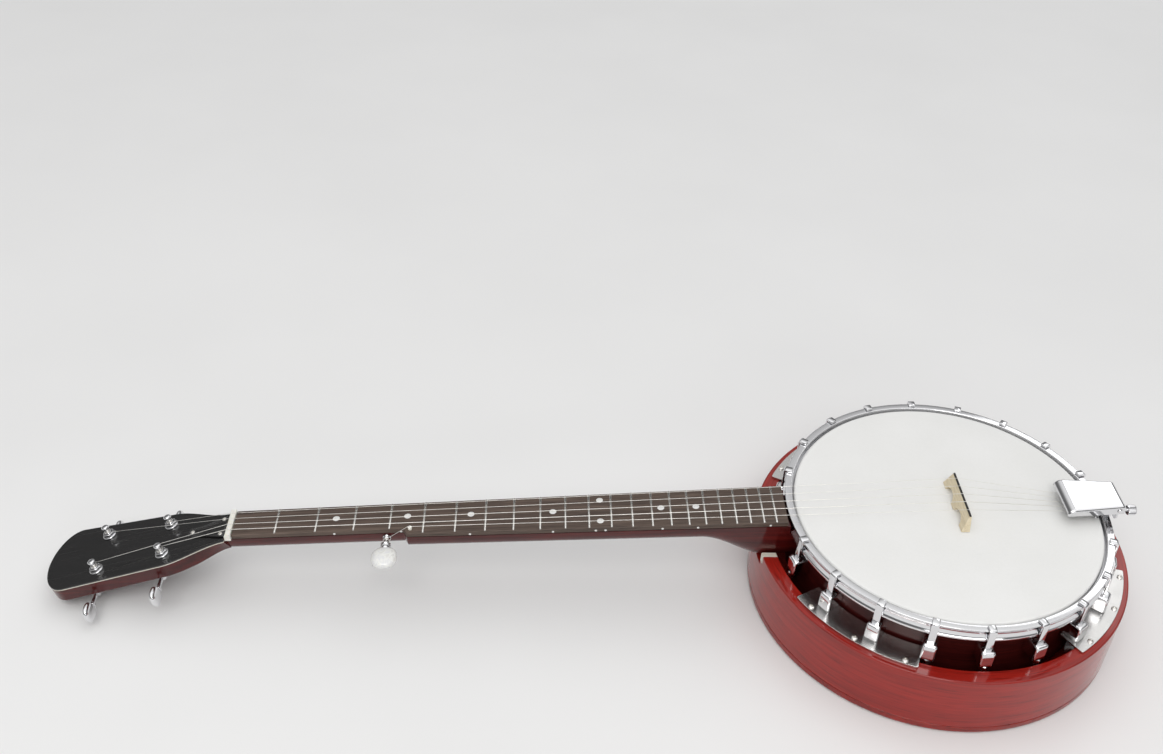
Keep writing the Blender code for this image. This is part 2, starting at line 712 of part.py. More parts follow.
def truss_slot():
    """Space of the truss rod's channel, from under the board to under its cover."""
    return box((-HEAD_AT - TRUSS_SLOT_OVER, -TRUSS_SLOT_HALF, NECK_TOP - TRUSS_SLOT_DEPTH),
               (-TRUSS_ROD_START + TRUSS_ROD_R, TRUSS_SLOT_HALF, BOARD_THICK))


def tuner_holes():
    """Holes of the tuners' bushings, in the headstock's frame."""
    return [cylinder(BUSH_R + PASS, (-along, y, -2 * HEAD_THICK), (-along, y, HEAD_THICK))
            for along, y in tuner_places()]


def neck():
    """Neck with its heel, headstock and every pocket in it."""
    head_place = NECK_FRAME.inverted() @ HEAD_FRAME
    peg_place = NECK_FRAME.inverted() @ PEG_FRAME
    world_place = NECK_FRAME.inverted()
    whole = joined(neck_shaft(), moved(headstock(), head_place))
    pot = cylinder(RIM_OUTER_R + GAP, (0, 0, -HOOP_TOP), (0, 0, 2 * HOOP_TOP), steps=RING_STEPS * 2)
    hoop_room = cylinder(HOOP_OUTER_R + HOOK_CLEAR, (0, 0, HOOP_BOTTOM - HOOK_CLEAR), (0, 0, 2 * HOOP_TOP),
                         steps=RING_STEPS * 2)
    rod_bore = cylinder(ROD_R + PASS, (-(RIM_OUTER_R + ROD_IN_HEEL + PASS), 0, ROD_Z), (0, 0, ROD_Z))
    peg_bore = cylinder(PEG_STEM_R + PASS, (0, 0, -PEG_STEM_LENGTH - PASS), (0, 0, PEG_STEM_LENGTH))
    peg_seat = cylinder(PEG_COLLAR_R + PASS, (0, 0, 0), (0, 0, PEG_STEM_LENGTH))
    tools = [moved(tool, world_place) for tool in (pot, hoop_room, rod_bore)]
    tools += [moved(tool, peg_place) for tool in (peg_bore, peg_seat)]
    tools += [moved(tool, head_place) for tool in tuner_holes()]
    return cut(cut(whole, *tools), truss_slot())


def headstock_veneer():
    """Black face of the headstock, in the headstock's frame."""
    sheet = prism(headstock_outline(), GAP, VENEER_TOP)
    slot = moved(truss_slot(), HEAD_FRAME.inverted() @ NECK_FRAME)
    return cut(sheet, slot, *tuner_holes())


def truss_cover():
    """Bell-shaped cover over the truss rod's end, in the headstock's frame."""
    tip = arc(-COVER_LENGTH + COVER_TIP_HALF, 0, COVER_TIP_HALF, pi / 2, 3 * pi / 2, 6)
    waist = -COVER_LENGTH / 2
    outline = [(-GAP, COVER_BASE_HALF), (waist, COVER_TIP_HALF * 1.3), *tip,
               (waist, -COVER_TIP_HALF * 1.3), (-GAP, -COVER_BASE_HALF)]
    return prism(outline, VENEER_TOP + GAP, VENEER_TOP + GAP + COVER_THICK)


def truss_rod():
    """Steel rod under the board."""
    height = NECK_TOP - TRUSS_SLOT_DEPTH / 2
    return cylinder(TRUSS_ROD_R, (-HEAD_AT - TRUSS_ROD_OVER, 0, height), (-TRUSS_ROD_START, 0, height))


def string_nut():
    """White nut with a rounded top."""
    block = box((-NUT_AT - GAP - NUT_LENGTH, -NUT_NEAR, -BOARD_THICK), (-NUT_AT - GAP, NUT_FAR, NUT_RISE))
    return rounded(block, NUT_RISE * 0.7, 2, lambda a, b: min(a.z, b.z) > 0 and a.x == b.x)


def fifth_pip():
    """Small turned nut of the fifth string, standing on the board."""
    groove = PIP_RISE - PIP_R / 2
    profile = [(0, PIP_RISE), (PIP_R, PIP_RISE), (PIP_R * 0.7, groove), (PIP_R, groove - PIP_R / 2),
               (PIP_R, GAP), (0, GAP)]
    return moved(turned(profile, SMALL_STEPS, on_axis=True), Matrix.Translation((-PIP_AT, PIP_Y, 0)))


def bridge():
    """Three-footed bridge, thinner towards its top."""
    arch_half = (BRIDGE_HALF - 1.5 * BRIDGE_FOOT) / 2
    middle = BRIDGE_FOOT / 2 + arch_half
    outline = [(-BRIDGE_HALF, 0), (-BRIDGE_HALF + BRIDGE_FOOT, 0)]
    arches = []
    for centre in (-middle, middle):
        arches += [(centre + arch_half * cos(turn), BRIDGE_ARCH * sin(turn))
                   for turn in (pi - pi * step / 6 for step in range(7))]
    outline += arches[1:-1] + [(BRIDGE_HALF - BRIDGE_FOOT, 0), (BRIDGE_HALF, 0)]
    top_half = BRIDGE_HALF - BRIDGE_END_INSET
    outline += [(top_half, BRIDGE_HEIGHT), (-top_half, BRIDGE_HEIGHT)]
    rings = []
    for side in (-1, 1):
        rings.append([(side * blend(BRIDGE_BASE, BRIDGE_TOP, z / BRIDGE_HEIGHT) / 2, y, z)
                      for y, z in outline])
    return moved(loft(rings), Matrix.Translation((BRIDGE_X, 0, HEAD_TOP + GAP)))


# Headstock tuners, in a frame on each post's axis at the headstock wood's face, +X to the worm

def tuner_plate():
    """Back plate with its bushing through the headstock and the two lugs of the worm shaft."""
    plate_bottom = PLATE_BACK - TUNER_PLATE_THICK
    reach = WORM_OFFSET + LUG_HALF
    plate = box((-TUNER_PLATE_BEHIND, -TUNER_PLATE_HALF, plate_bottom), (reach, TUNER_PLATE_HALF, PLATE_BACK))
    washer_bottom = VENEER_TOP + GAP
    washer_top = washer_bottom + BUSH_WASHER_HEIGHT
    nut_top = washer_top + BUSH_NUT_HEIGHT
    sleeve = cylinder(BUSH_R, (0, 0, plate_bottom + GAP), (0, 0, nut_top))
    washer = cylinder(BUSH_WASHER_R, (0, 0, washer_bottom), (0, 0, washer_top))
    nut = cylinder(BUSH_NUT_R, (0, 0, washer_top - GAP), (0, 0, nut_top - GAP), steps=6)
    lugs = []
    for end in (-1, 1):
        low, high = sorted((end * LUG_AT, end * (LUG_AT + LUG_THICK)))
        lugs.append(box((WORM_OFFSET - LUG_HALF, low, PLATE_BACK - TUNER_PLATE_THICK - LUG_HEIGHT),
                        (reach - GAP, high, PLATE_BACK - GAP)))
    whole = joined(plate, sleeve, washer, nut, *lugs)
    bore = cylinder(POST_R + RUN, (0, 0, PLATE_BACK - HEAD_THICK), (0, 0, HEAD_THICK))
    shaft_bore = cylinder(SHAFT_R + RUN, (WORM_OFFSET, -HEAD_THICK, WHEEL_Z),
                          (WORM_OFFSET, HEAD_THICK, WHEEL_Z))
    return cut(whole, bore, shaft_bore)


def worm_wheel():
    """Toothed wheel with a tooth space facing the worm."""
    outline = []
    for number in range(WORM_TEETH):
        middle = 2 * pi * (number + 0.5) / WORM_TEETH
        for radius, half in ((WHEEL_ROOT_R, -TOOTH_ROOT_HALF), (WHEEL_TIP_R, -TOOTH_TIP_HALF),
                             (WHEEL_TIP_R, TOOTH_TIP_HALF), (WHEEL_ROOT_R, TOOTH_ROOT_HALF)):
            angle = middle + half / radius
            outline.append((radius * cos(angle), radius * sin(angle)))
    return prism(outline, WHEEL_Z - WHEEL_FACE / 2, WHEEL_Z + WHEEL_FACE / 2)


def tuner_post():
    """String post with a waist and a cap, on its worm wheel."""
    face = VENEER_TOP
    flare = POST_R - POST_WAIST_R
    waist = face + POST_WAIST_AT
    top = face + POST_HEIGHT
    profile = [(0, top), (POST_CAP_R - flare, top), (POST_CAP_R, top - flare),
               (POST_CAP_R, waist + 3 * flare), (POST_WAIST_R, waist + flare),
               (POST_WAIST_R, waist - flare), (POST_R, waist - 3 * flare),
               (POST_R, WHEEL_Z - WHEEL_FACE), (0, WHEEL_Z - WHEEL_FACE)]
    return joined(turned(profile, SMALL_STEPS, on_axis=True), worm_wheel())


def worm_thread():
    """Right-handed thread about +Y whose ridge faces the wheel at its middle, about the shaft's axis."""
    rings = []
    steps = round(WORM_TURNS * 10)
    core = SHAFT_R - RUN
    for step in range(steps + 1):
        turn = 2 * pi * WORM_TURNS * (step / steps - 0.5)
        along = WORM_PITCH * turn / (2 * pi)
        rings.append([(-radius * cos(turn), along + half, radius * sin(turn))
                      for radius, half in ((core, -WORM_ROOT_HALF), (WORM_TIP_R, -WORM_TIP_HALF),
                                           (WORM_TIP_R, WORM_TIP_HALF), (core, WORM_ROOT_HALF))])
    return loft(rings)


def lobed(size, power):
    """Flattened rounded body of a tuner button; its size runs along X, Y and Z."""
    shape = bmesh.new()
    bmesh.ops.create_uvsphere(shape, u_segments=SMALL_STEPS, v_segments=8, radius=0.5)
    for vert in shape.verts:
        for axis in range(3):
            share = abs(vert.co[axis]) * 2
            grown = share ** power[axis] / 2
            vert.co[axis] = grown * size[axis] if vert.co[axis] > 0 else -grown * size[axis]
    return mesh_from(shape)


def tuner_button(side):
    """Oval button, its shaft and the worm, about the shaft's axis along Y."""
    far_end = -side * (LUG_AT + LUG_THICK + SHAFT_R)
    shaft = cylinder(SHAFT_R, (0, far_end, 0), (0, side * BUTTON_AT, 0))
    body = moved(lobed(BUTTON_SIZE, BUTTON_POWER), Matrix.Translation((0, side * BUTTON_AT, 0)))
    return joined(shaft, worm_thread(), body)


# Fifth-string peg, in a frame on its axis at the neck's side, pointing out

PEG_SLEEVE_AT = PEG_COLLAR + 2 * GAP
PEG_HOUSING_AT = PEG_SLEEVE_AT + PEG_SLEEVE + GAP
PEG_BUTTON_AT = PEG_HOUSING_AT + PEG_HOUSING + PEG_NECK


def peg_stem():
    """Stem in the neck, core of the sleeve and housing with a socket for the button's shaft."""
    end = PEG_HOUSING_AT + PEG_HOUSING
    socket = SHAFT_R + RUN
    round_off = PEG_HOUSING_R / 6
    profile = [(0, end - PEG_SOCKET), (socket, end - PEG_SOCKET), (socket, end),
               (PEG_HOUSING_R - round_off, end), (PEG_HOUSING_R, end - round_off),
               (PEG_HOUSING_R, PEG_HOUSING_AT), (PEG_CORE_R, PEG_HOUSING_AT),
               (PEG_CORE_R, PEG_COLLAR + GAP), (PEG_COLLAR_R, PEG_COLLAR + GAP), (PEG_COLLAR_R, GAP),
               (PEG_STEM_R, GAP), (PEG_STEM_R, -PEG_STEM_LENGTH), (0, -PEG_STEM_LENGTH)]
    return turned(profile, SMALL_STEPS, on_axis=True)


def peg_sleeve():
    """Turning string sleeve between the collar and the housing."""
    end = PEG_SLEEVE_AT + PEG_SLEEVE
    rim_length = PEG_SLEEVE_RIM_R - PEG_SLEEVE_R
    bore = PEG_CORE_R + RUN
    profile = [(bore, end), (PEG_SLEEVE_RIM_R, end), (PEG_SLEEVE_R, end - rim_length),
               (PEG_SLEEVE_R, PEG_SLEEVE_AT + rim_length), (PEG_SLEEVE_RIM_R, PEG_SLEEVE_AT),
               (bore, PEG_SLEEVE_AT)]
    return turned(profile, SMALL_STEPS)


def peg_button():
    """Round pearl button on a short shaft."""
    start = PEG_HOUSING_AT + PEG_HOUSING - PEG_SOCKET + GAP
    middle = PEG_BUTTON_AT + PEG_BUTTON_SIZE[2] / 2
    shaft = cylinder(SHAFT_R, (0, 0, start), (0, 0, middle))
    body = moved(lobed(PEG_BUTTON_SIZE, PEG_BUTTON_POWER), Matrix.Translation((0, 0, middle)))
    return joined(shaft, body)


# Tailpiece, in the world's frame

TAIL_REAR_X = TAB_X + TAIL_SHEET


def tail_profile(inset, floor):
    """Side outline of the cover; an inset gives its inside."""
    front_z = HOOP_TOP + TAIL_FRONT_RISE - TAIL_FRONT_ROUND
    rear_z = HOOP_TOP + TAIL_REAR_RISE - TAIL_REAR_ROUND
    front = arc(TAIL_FRONT_X + TAIL_FRONT_ROUND, front_z, TAIL_FRONT_ROUND - inset, pi, pi / 2, 4)
    rear = arc(TAIL_REAR_X - TAIL_REAR_ROUND, rear_z, TAIL_REAR_ROUND - inset, pi / 2, 0, 3)
    return [(TAIL_FRONT_X + inset, floor), *front, *rear, (TAIL_REAR_X - inset, floor)]


def tail_half(x):
    """Half width of the cover, tapering to the rear."""
    return blend(TAIL_FRONT_HALF, TAIL_REAR_HALF, (x - TAIL_FRONT_X) / (TAIL_REAR_X - TAIL_FRONT_X))


def tapered(mesh, inset):
    """Give a side prism of half width 1 the cover's taper."""
    for vert in mesh.vertices:
        vert.co.y *= tail_half(vert.co.x) - inset
    return mesh


def tailpiece():
    """Pressed cover with a tab for its screw, a bar for the strings and holes for its pin."""
    outside = tapered(side_prism(tail_profile(0, SKIRT_Z), 1), 0)
    inside = tapered(side_prism(tail_profile(TAIL_SHEET, SKIRT_Z - TAIL_SKIRT_RISE), 1), TAIL_SHEET)
    tab = box((TAB_X, -TAIL_TAB_HALF, HOOP_TOP - TAIL_TAB_DROP),
              (TAIL_REAR_X, TAIL_TAB_HALF, SKIRT_Z + TAIL_SHEET))
    bar_x = TAIL_FRONT_X + ANCHOR_INSET
    bar_half = tail_half(bar_x) - TAIL_SHEET / 2
    bar = box((bar_x, -bar_half, SKIRT_Z - ANCHOR_DROP),
              (bar_x + ANCHOR_THICK, bar_half, SKIRT_Z + ANCHOR_RISE))
    whole = joined(cut(outside, inside), tab, bar)
    pin_bore = cylinder(PIN_R + RUN, PIN + Vector((0, -1, 0)), PIN + Vector((0, 1, 0)))
    screw_bore = cylinder(SCREW_R + RUN, (TAB_X - TAIL_SHEET, 0, SCREW_Z),
                          (TAIL_REAR_X + TAIL_SHEET, 0, SCREW_Z))
    return cut(whole, pin_bore, screw_bore)


def tail_hanger():
    """Block on the rim, strap up outside the hoop and the cover's hinge pin."""
    back = STRAP_X + STRAP_THICK
    block = box((RIM_OUTER_R + GAP, -TAIL_BLOCK_HALF, SHOE_BOTTOM), (back, TAIL_BLOCK_HALF, SHOE_TOP))
    strap = box((STRAP_X, -STRAP_HALF, SHOE_TOP - STRAP_THICK), (back, STRAP_HALF, PIN.z))
    reach = tail_half(PIN.x) + PIN_OVERHANG
    pin = cylinder(PIN_R, PIN + Vector((0, -reach, 0)), PIN + Vector((0, reach, 0)))
    bore = cylinder(ROD_R + PASS, (0, 0, ROD_Z), (2 * back, 0, ROD_Z))
    return cut(joined(block, strap, pin), bore)


def tail_screw():
    """Thumb screw that bears on the strap, about its own axis along X with the tab's face at zero."""
    tip = -(TAIL_TAB_CLEAR - GAP)
    knob_start = TAIL_SHEET + SCREW_STAND
    outline = []
    for step in range(2 * KNOB_FLUTES):
        angle = pi * step / KNOB_FLUTES
        radius = KNOB_R - KNOB_FLUTE_DEPTH * (step % 2)
        outline.append((radius * cos(angle), radius * sin(angle)))
    knob = moved(prism(outline, knob_start, knob_start + KNOB_LENGTH), Matrix.Rotation(pi / 2, 4, "Y"))
    return joined(cylinder(SCREW_R, (tip, 0, 0), (knob_start + SCREW_R, 0, 0)), knob)


# Strings, in the world's frame

def bridge_crossing(number):
    """Where a string crosses the bridge."""
    y = BRIDGE_SPACING * (2 - number)
    return Vector((BRIDGE_X, y, HEAD_TOP + GAP + BRIDGE_HEIGHT + GAP + STRING_R[number]))


def string_route(number):
    """Points of a string from its tuner over its nut and the bridge to the tailpiece."""
    radius = STRING_R[number]
    if number < len(tuner_places()):
        along, y = tuner_places()[number]
        inward = POST_WAIST_R + GAP + radius
        side = 1 if y > 0 else -1
        start = HEAD_FRAME @ Vector((-along, y - side * inward, VENEER_TOP + POST_WAIST_AT))
        nut_y = NUT_STRING_SHIFT + NUT_SPACING * (1.5 - number)
        height = NUT_RISE + GAP + radius
        nut = [NECK_FRAME @ Vector((-NUT_AT - GAP - NUT_LENGTH, nut_y, height)),
               NECK_FRAME @ Vector((-NUT_AT, nut_y, height))]
    else:
        above = PEG_SLEEVE_R + GAP + radius
        start = PEG_FRAME @ Vector((0, above, PEG_SLEEVE_AT + PEG_SLEEVE / 2))
        height = PIP_RISE + GAP + radius
        nut = [NECK_FRAME @ Vector((-PIP_AT + edge, PIP_Y, height)) for edge in (-PIP_R, PIP_R)]
    tail_y = TAIL_SPACING * (2 - number)
    lip = SKIRT_Z - STRING_LIP_DROP
    entry = Vector((TAIL_FRONT_X, tail_y, lip))
    end = Vector((TAIL_FRONT_X + ANCHOR_INSET - ANCHOR_STRING_GAP, tail_y, lip))
    return [start, *nut, bridge_crossing(number), entry, end]


def string(number, finish):
    """One string as a thin tube along its route."""
    route = string_route(number)
    data = bpy.data.curves.new(f"string_{number + 1}", "CURVE")
    data.dimensions = "3D"
    data.bevel_depth = STRING_R[number]
    data.bevel_resolution = 1
    data.use_fill_caps = True
    line = data.splines.new("POLY")
    line.points.add(len(route) - 1)
    for point, place in zip(line.points, route):
        point.co = (*place, 1)
    data.materials.append(finish)
    made = bpy.data.objects.new(f"string_{number + 1}", data)
    bpy.context.collection.objects.link(made)


def clear_scene():
    """Start from an empty scene."""
    for old in list(bpy.data.objects):
        bpy.data.objects.remove(old)


def main():
    """Build every piece of the banjo."""
    clear_scene()
    chrome = material("chrome", (0.78, 0.78, 0.80), 0.12, 1.0)
    nickel = material("nickel", (0.70, 0.69, 0.66), 0.25, 1.0)
    steel = material("steel", (0.55, 0.55, 0.56), 0.35, 1.0)
    brass = material("brass", (0.62, 0.47, 0.22), 0.30, 1.0)
    mahogany = material("mahogany", (0.12, 0.014, 0.012), 0.18)
    rim_wood = material("rim_wood", (0.085, 0.012, 0.012), 0.22)
    rosewood = material("rosewood", (0.085, 0.052, 0.038), 0.50)
    maple = material("maple", (0.62, 0.47, 0.27), 0.45)
    black = material("black_lacquer", (0.010, 0.010, 0.011), 0.12)
    bone = material("bone", (0.83, 0.80, 0.71), 0.35)
    pearl = material("pearl", (0.80, 0.80, 0.77), 0.20)
    skin = material("coated_skin", (0.84, 0.84, 0.82), 0.55)

    piece("resonator_back", resonator_back(), mahogany)
    piece("resonator_side", resonator_side(), mahogany)
    for number, angle in enumerate(plate_angles(), start=1):
        piece(f"flange_plate_{number}", flange_plate(angle), chrome)
    piece("rim", rim(), rim_wood)
    piece("tone_ring", tone_ring(), brass)
    piece("drum_head", drum_head(), skin)
    piece("tension_hoop", tension_hoop(), chrome)
    piece("coordinator_rod", coordinator_rod(), steel)
    brackets = {through: tension_bracket(through) for through in (False, True)}
    for number, angle in enumerate(hook_angles(), start=1):
        bracket = piece(f"tension_bracket_{number:02d}", brackets[holds_plate(angle)], chrome)
        bracket.rotation_euler.z = angle

    neck_frame = frame("neck_frame", NECK_FRAME)
    piece("neck", neck(), mahogany, neck_frame)
    piece("fingerboard", fingerboard(), rosewood, neck_frame)
    piece("truss_rod", truss_rod(), steel, neck_frame)
    piece("string_nut", string_nut(), bone, neck_frame)
    piece("fifth_pip", fifth_pip(), bone, neck_frame)
    piece("bridge", bridge(), maple)
    head_frame = frame("headstock_frame", HEAD_FRAME)
    piece("headstock_veneer", headstock_veneer(), black, head_frame)
    piece("truss_cover", truss_cover(), black, head_frame)

    for number, (along, y) in enumerate(tuner_places(), start=1):
        side = 1 if y > 0 else -1
        place = HEAD_FRAME @ Matrix.Translation((-along, y, 0)) @ WORM_SIDE
        post_frame = frame(f"tuner_{number}_post_axis", place)
        shaft_frame = frame(f"tuner_{number}_shaft_axis",
                            place @ Matrix.Translation((WORM_OFFSET, 0, WHEEL_Z)))
        piece(f"tuner_{number}_plate", tuner_plate(), chrome, post_frame)
        piece(f"tuner_{number}_post", tuner_post(), chrome, post_frame)
        piece(f"tuner_{number}_button", tuner_button(-side), chrome, shaft_frame)

    peg_frame = frame("peg_axis", PEG_FRAME)
    piece("peg_stem", peg_stem(), chrome, peg_frame)
    piece("peg_sleeve", peg_sleeve(), chrome, peg_frame)
    piece("peg_button", peg_button(), pearl, peg_frame)

    piece("tail_hanger", tail_hanger(), chrome)
    pin_frame = frame("tail_pin_axis", Matrix.Translation(PIN))
    piece("tailpiece", moved(tailpiece(), Matrix.Translation(-PIN)), chrome, pin_frame)
    screw_frame = frame("tail_screw_axis", Matrix.Translation((TAB_X, 0, SCREW_Z)))
    piece("tail_screw", tail_screw(), chrome, screw_frame)
    for number in range(len(STRING_R)):
        string(number, nickel)


main()
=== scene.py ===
"""Looks of the five-string resonator banjo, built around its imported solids."""
from math import atan2, cos, pi, radians, sin, tan

import bmesh
import bpy
from mathutils import Matrix, Vector


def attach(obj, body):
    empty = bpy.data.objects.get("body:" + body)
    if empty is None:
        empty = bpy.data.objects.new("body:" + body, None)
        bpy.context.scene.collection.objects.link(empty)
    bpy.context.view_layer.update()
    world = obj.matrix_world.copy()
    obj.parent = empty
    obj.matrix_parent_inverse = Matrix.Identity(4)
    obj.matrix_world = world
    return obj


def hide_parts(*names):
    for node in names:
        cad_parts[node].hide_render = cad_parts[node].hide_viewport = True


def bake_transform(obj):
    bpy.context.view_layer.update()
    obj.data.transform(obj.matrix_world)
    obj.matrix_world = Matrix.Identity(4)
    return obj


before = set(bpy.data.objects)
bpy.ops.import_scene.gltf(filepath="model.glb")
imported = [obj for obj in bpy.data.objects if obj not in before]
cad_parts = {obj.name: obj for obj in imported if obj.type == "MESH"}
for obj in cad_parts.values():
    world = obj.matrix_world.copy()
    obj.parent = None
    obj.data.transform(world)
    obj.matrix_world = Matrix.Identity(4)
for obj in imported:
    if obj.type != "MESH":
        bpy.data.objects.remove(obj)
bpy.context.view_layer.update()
ROOT = "banjo"


def shift(x, y, z):
    """A move without a turn."""
    return Matrix.Translation((x, y, z))


def spin(angle, axis):
    """A turn about one axis."""
    return Matrix.Rotation(angle, 4, axis)


def facing(direction, forward="Z"):
    """A turn that brings an axis, +Z unless named, to a direction."""
    return Vector(direction).to_track_quat(forward, "Y").to_matrix().to_4x4()


# Pot, in metres, from its axis on the resting plane
GAP = 0.0003
RIM_OUTER_R = 0.1397
RIM_INNER_R = 0.1237
RIM_TOP = 0.0985
RIM_BOTTOM = 0.0300
SKIRT_R = 0.1400
SKIN_R = 0.1406
SKIN_THICK = 0.0006
HEAD_TOP = 0.1030
FLESH_OUTER_R = 0.1440
FLESH_TOP = 0.0985
FLESH_BOTTOM = 0.0935
HOOP_LIP_R = 0.1425
HOOP_INNER_R = 0.1443
HOOP_OUTER_R = 0.1495
HOOP_TOP = 0.1040
HOOP_BOTTOM = 0.0915
BAND_R = 0.1501
BAND_THICK = 0.0022
HOOK_R = 0.1526
HOOK_ANGLES = [radians(18) * step for step in range(1, 10)]
HOOK_ANGLES += [-angle for angle in reversed(HOOK_ANGLES)]
SHOE_BOTTOM = 0.0681
SHOE_TOP = 0.0841
SIDE_INNER_R = 0.1586
SIDE_OUTER_R = 0.1721
SIDE_BOTTOM = 0.0083
SIDE_TOP = 0.0655
BACK_THICK = 0.0080
NOTCH_HALF = 0.0228
NOTCH_BOTTOM = 0.0510
PLATE_INNER_R = 0.1420
PLATE_OUTER_R = 0.1668
PLATE_BOTTOM = 0.0658
PLATE_TOP = 0.0678
PLATE_ANGLES = (radians(36.5), radians(131), radians(-131), radians(-36.5))
PLATE_HALF_SPAN = radians(21)
PLATE_SCREW_R = 0.1632
ROD_Z = 0.0761
ROD_BORE_R = 0.0046

# Neck, from the board's pot end towards the nut
BOARD_THICK = 0.005
BOARD_NUT_HALF = 0.0173
BOARD_END_HALF = 0.0243
BOARD_NARROW = 0.0136
SCALE_LENGTH = 0.670
FRETS = 22
NUT_AT = 0.0103 + SCALE_LENGTH * (1 - 2 ** (-FRETS / 12))
NUT_LENGTH = 0.0055
NUT_RISE = 0.0018
HEAD_AT = NUT_AT + NUT_LENGTH + 2 * GAP
NECK_TOP = -BOARD_THICK - GAP
HEEL_BOTTOM = 0.0525
HEEL_FLAT = 0.016
HEEL_SWEEP = 0.062
NECK_RISE = 0.0007
NECK_FRAME = shift(-0.1510, 0, HOOP_TOP + NECK_RISE) @ spin(radians(-3.75), "Y")

# Headstock and tuners
HEAD_ANGLE = radians(12.5)
HEAD_THICK = 0.013
HEAD_NUT_HALF = 0.0174
HEAD_FLARE_HALF = 0.0325
HEAD_WIDE_HALF = 0.0372
HEAD_LENGTH = 0.168
HEAD_FLARE_END = 0.345 * HEAD_LENGTH
HEAD_WIDE_AT = HEAD_LENGTH - 0.022
VENEER_TOP = 0.0023
HEAD_FRAME = NECK_FRAME @ shift(-HEAD_AT, 0, NECK_TOP) @ spin(-HEAD_ANGLE, "Y")
TUNERS = ((0.05628, 0.018063), (0.116928, 0.021548), (0.116928, -0.021548), (0.05628, -0.018063))
WORM_OFFSET = 0.0082
WHEEL_Z = -0.0182
WHEEL_TEETH = 14
PLATE_BACK = -HEAD_THICK - GAP
POST_WAIST_Z = VENEER_TOP + 0.0066
POST_WIRE_R = 0.0024


def fret_at(number):
    """Distance of a fret from the board's pot end."""
    return NUT_AT - SCALE_LENGTH * (1 - 2 ** (-number / 12))


# Fifth string's pip and peg
PIP_AT = fret_at(5) + 0.0113
PIP_Y = -0.0145
PIP_RISE = 0.003
SHOULDER_AT = PIP_AT + 0.0025
SHOULDER_LENGTH = 0.004
PEG_FRAME = NECK_FRAME @ shift(-PIP_AT - 0.0215, -BOARD_NARROW, -0.0095) @ spin(pi / 2, "X")
PEG_SLEEVE_AT = 0.0017
PEG_SLEEVE = 0.0075
PEG_WIRE_R = 0.0026
PEG_WIRE_AT = PEG_SLEEVE_AT + PEG_SLEEVE / 2
PEG_HOUSING_AT = PEG_SLEEVE_AT + PEG_SLEEVE + GAP
PEG_HOUSING_END = PEG_HOUSING_AT + 0.0036

# Tailpiece, bridge and strings
PIN = Vector((0.1525, 0, 0.1172))
STRAP_X = 0.1515
TAB_X = 0.1575
TAIL_FRONT_X = 0.1035
TAIL_REAR_X = 0.1590
TAIL_SHEET = 0.0015
SKIRT_Z = 0.1130
SCREW_Z = 0.1016
LIP_Z = SKIRT_Z - 0.0022
ANCHOR_X = TAIL_FRONT_X + 0.0275
BRIDGE_X = 0.008
BRIDGE_HEIGHT = 0.0159
BRIDGE_FOOT_Z = HEAD_TOP + GAP
BRIDGE_LINE = 0.0025
STRING_R = (0.0002, 0.0002, 0.00025, 0.0003, 0.0002)

RING_STEPS = 240
ROUND_STEPS = 40


# Shape helpers

def shares(count):
    """Even steps from 0 to 1, both included."""
    return [step / count for step in range(count + 1)]


def blend(start, end, share):
    """A value part of the way between two others."""
    return start + (end - start) * share


def smoothstep(value):
    """An S-curve from 0 to 1."""
    value = min(max(value, 0), 1)
    return value * value * (3 - 2 * value)


def arc(centre_x, centre_y, radius, start, end, steps):
    """Points of a plane arc, both ends included."""
    angles = [start + (end - start) * step / steps for step in range(steps + 1)]
    return [(centre_x + radius * cos(angle), centre_y + radius * sin(angle)) for angle in angles]


def circle(radius, steps):
    """Points of a plane circle about the origin."""
    return arc(0, 0, radius, 0, 2 * pi, steps)[:-1]


def corners(low_x, high_x, low_y, high_y):
    """A rectangle's corners, from its low one round its high one."""
    return [(low_x, low_y), (high_x, low_y), (high_x, high_y), (low_x, high_y)]


def filleted(points, radii, steps=4):
    """A closed outline with its corners rounded by one radius, or by one for each corner."""
    if not isinstance(radii, list):
        radii = [radii] * len(points)
    largest_share = 0.49
    outline = []
    for index, (point, radius) in enumerate(zip(points, radii)):
        here = Vector(point)
        if radius <= 0:
            outline.append(tuple(here))
            continue
        before = Vector(points[index - 1]) - here
        after = Vector(points[(index + 1) % len(points)]) - here
        half = before.angle(after) / 2
        reach = min(radius / tan(half), largest_share * min(before.length, after.length))
        before.normalize()
        after.normalize()
        true_radius = reach * tan(half)
        centre = here + (before + after).normalized() * (true_radius / sin(half))
        first, last = here + before * reach - centre, here + after * reach - centre
        for share in shares(steps):
            outline.append(tuple(centre + first.lerp(last, share).normalized() * true_radius))
    return outline


def inset(outline, distance):
    """A closed outline moved inwards along its corners' bisectors."""
    area = sum(a[0] * b[1] - b[0] * a[1] for a, b in zip(outline, outline[1:] + outline[:1]))
    turn, mitre_limit = 1 if area > 0 else -1, 0.4
    result = []
    for index, point in enumerate(outline):
        here = Vector(point)
        before = (here - Vector(outline[index - 1])).normalized()
        after = (Vector(outline[(index + 1) % len(outline)]) - here).normalized()
        normal = Vector((-before.y - after.y, before.x + after.x)) * turn
        length = max(1 + before.dot(after), mitre_limit)
        result.append(tuple(here + normal * (distance / length)))
    return result


def level(outline, z):
    """A plane outline of (x, y) points at one height."""
    return [(x, y, z) for x, y in outline]


def upright(outline, y):
    """An outline of (x, z) points at one place across."""
    return [(x, y, z) for x, z in outline]


def mesh_from(shape):
    """Turn a bmesh into mesh data with its faces pointing out."""
    bmesh.ops.recalc_face_normals(shape, faces=shape.faces)
    mesh = bpy.data.meshes.new("shape")
    shape.to_mesh(mesh)
    shape.free()
    return mesh


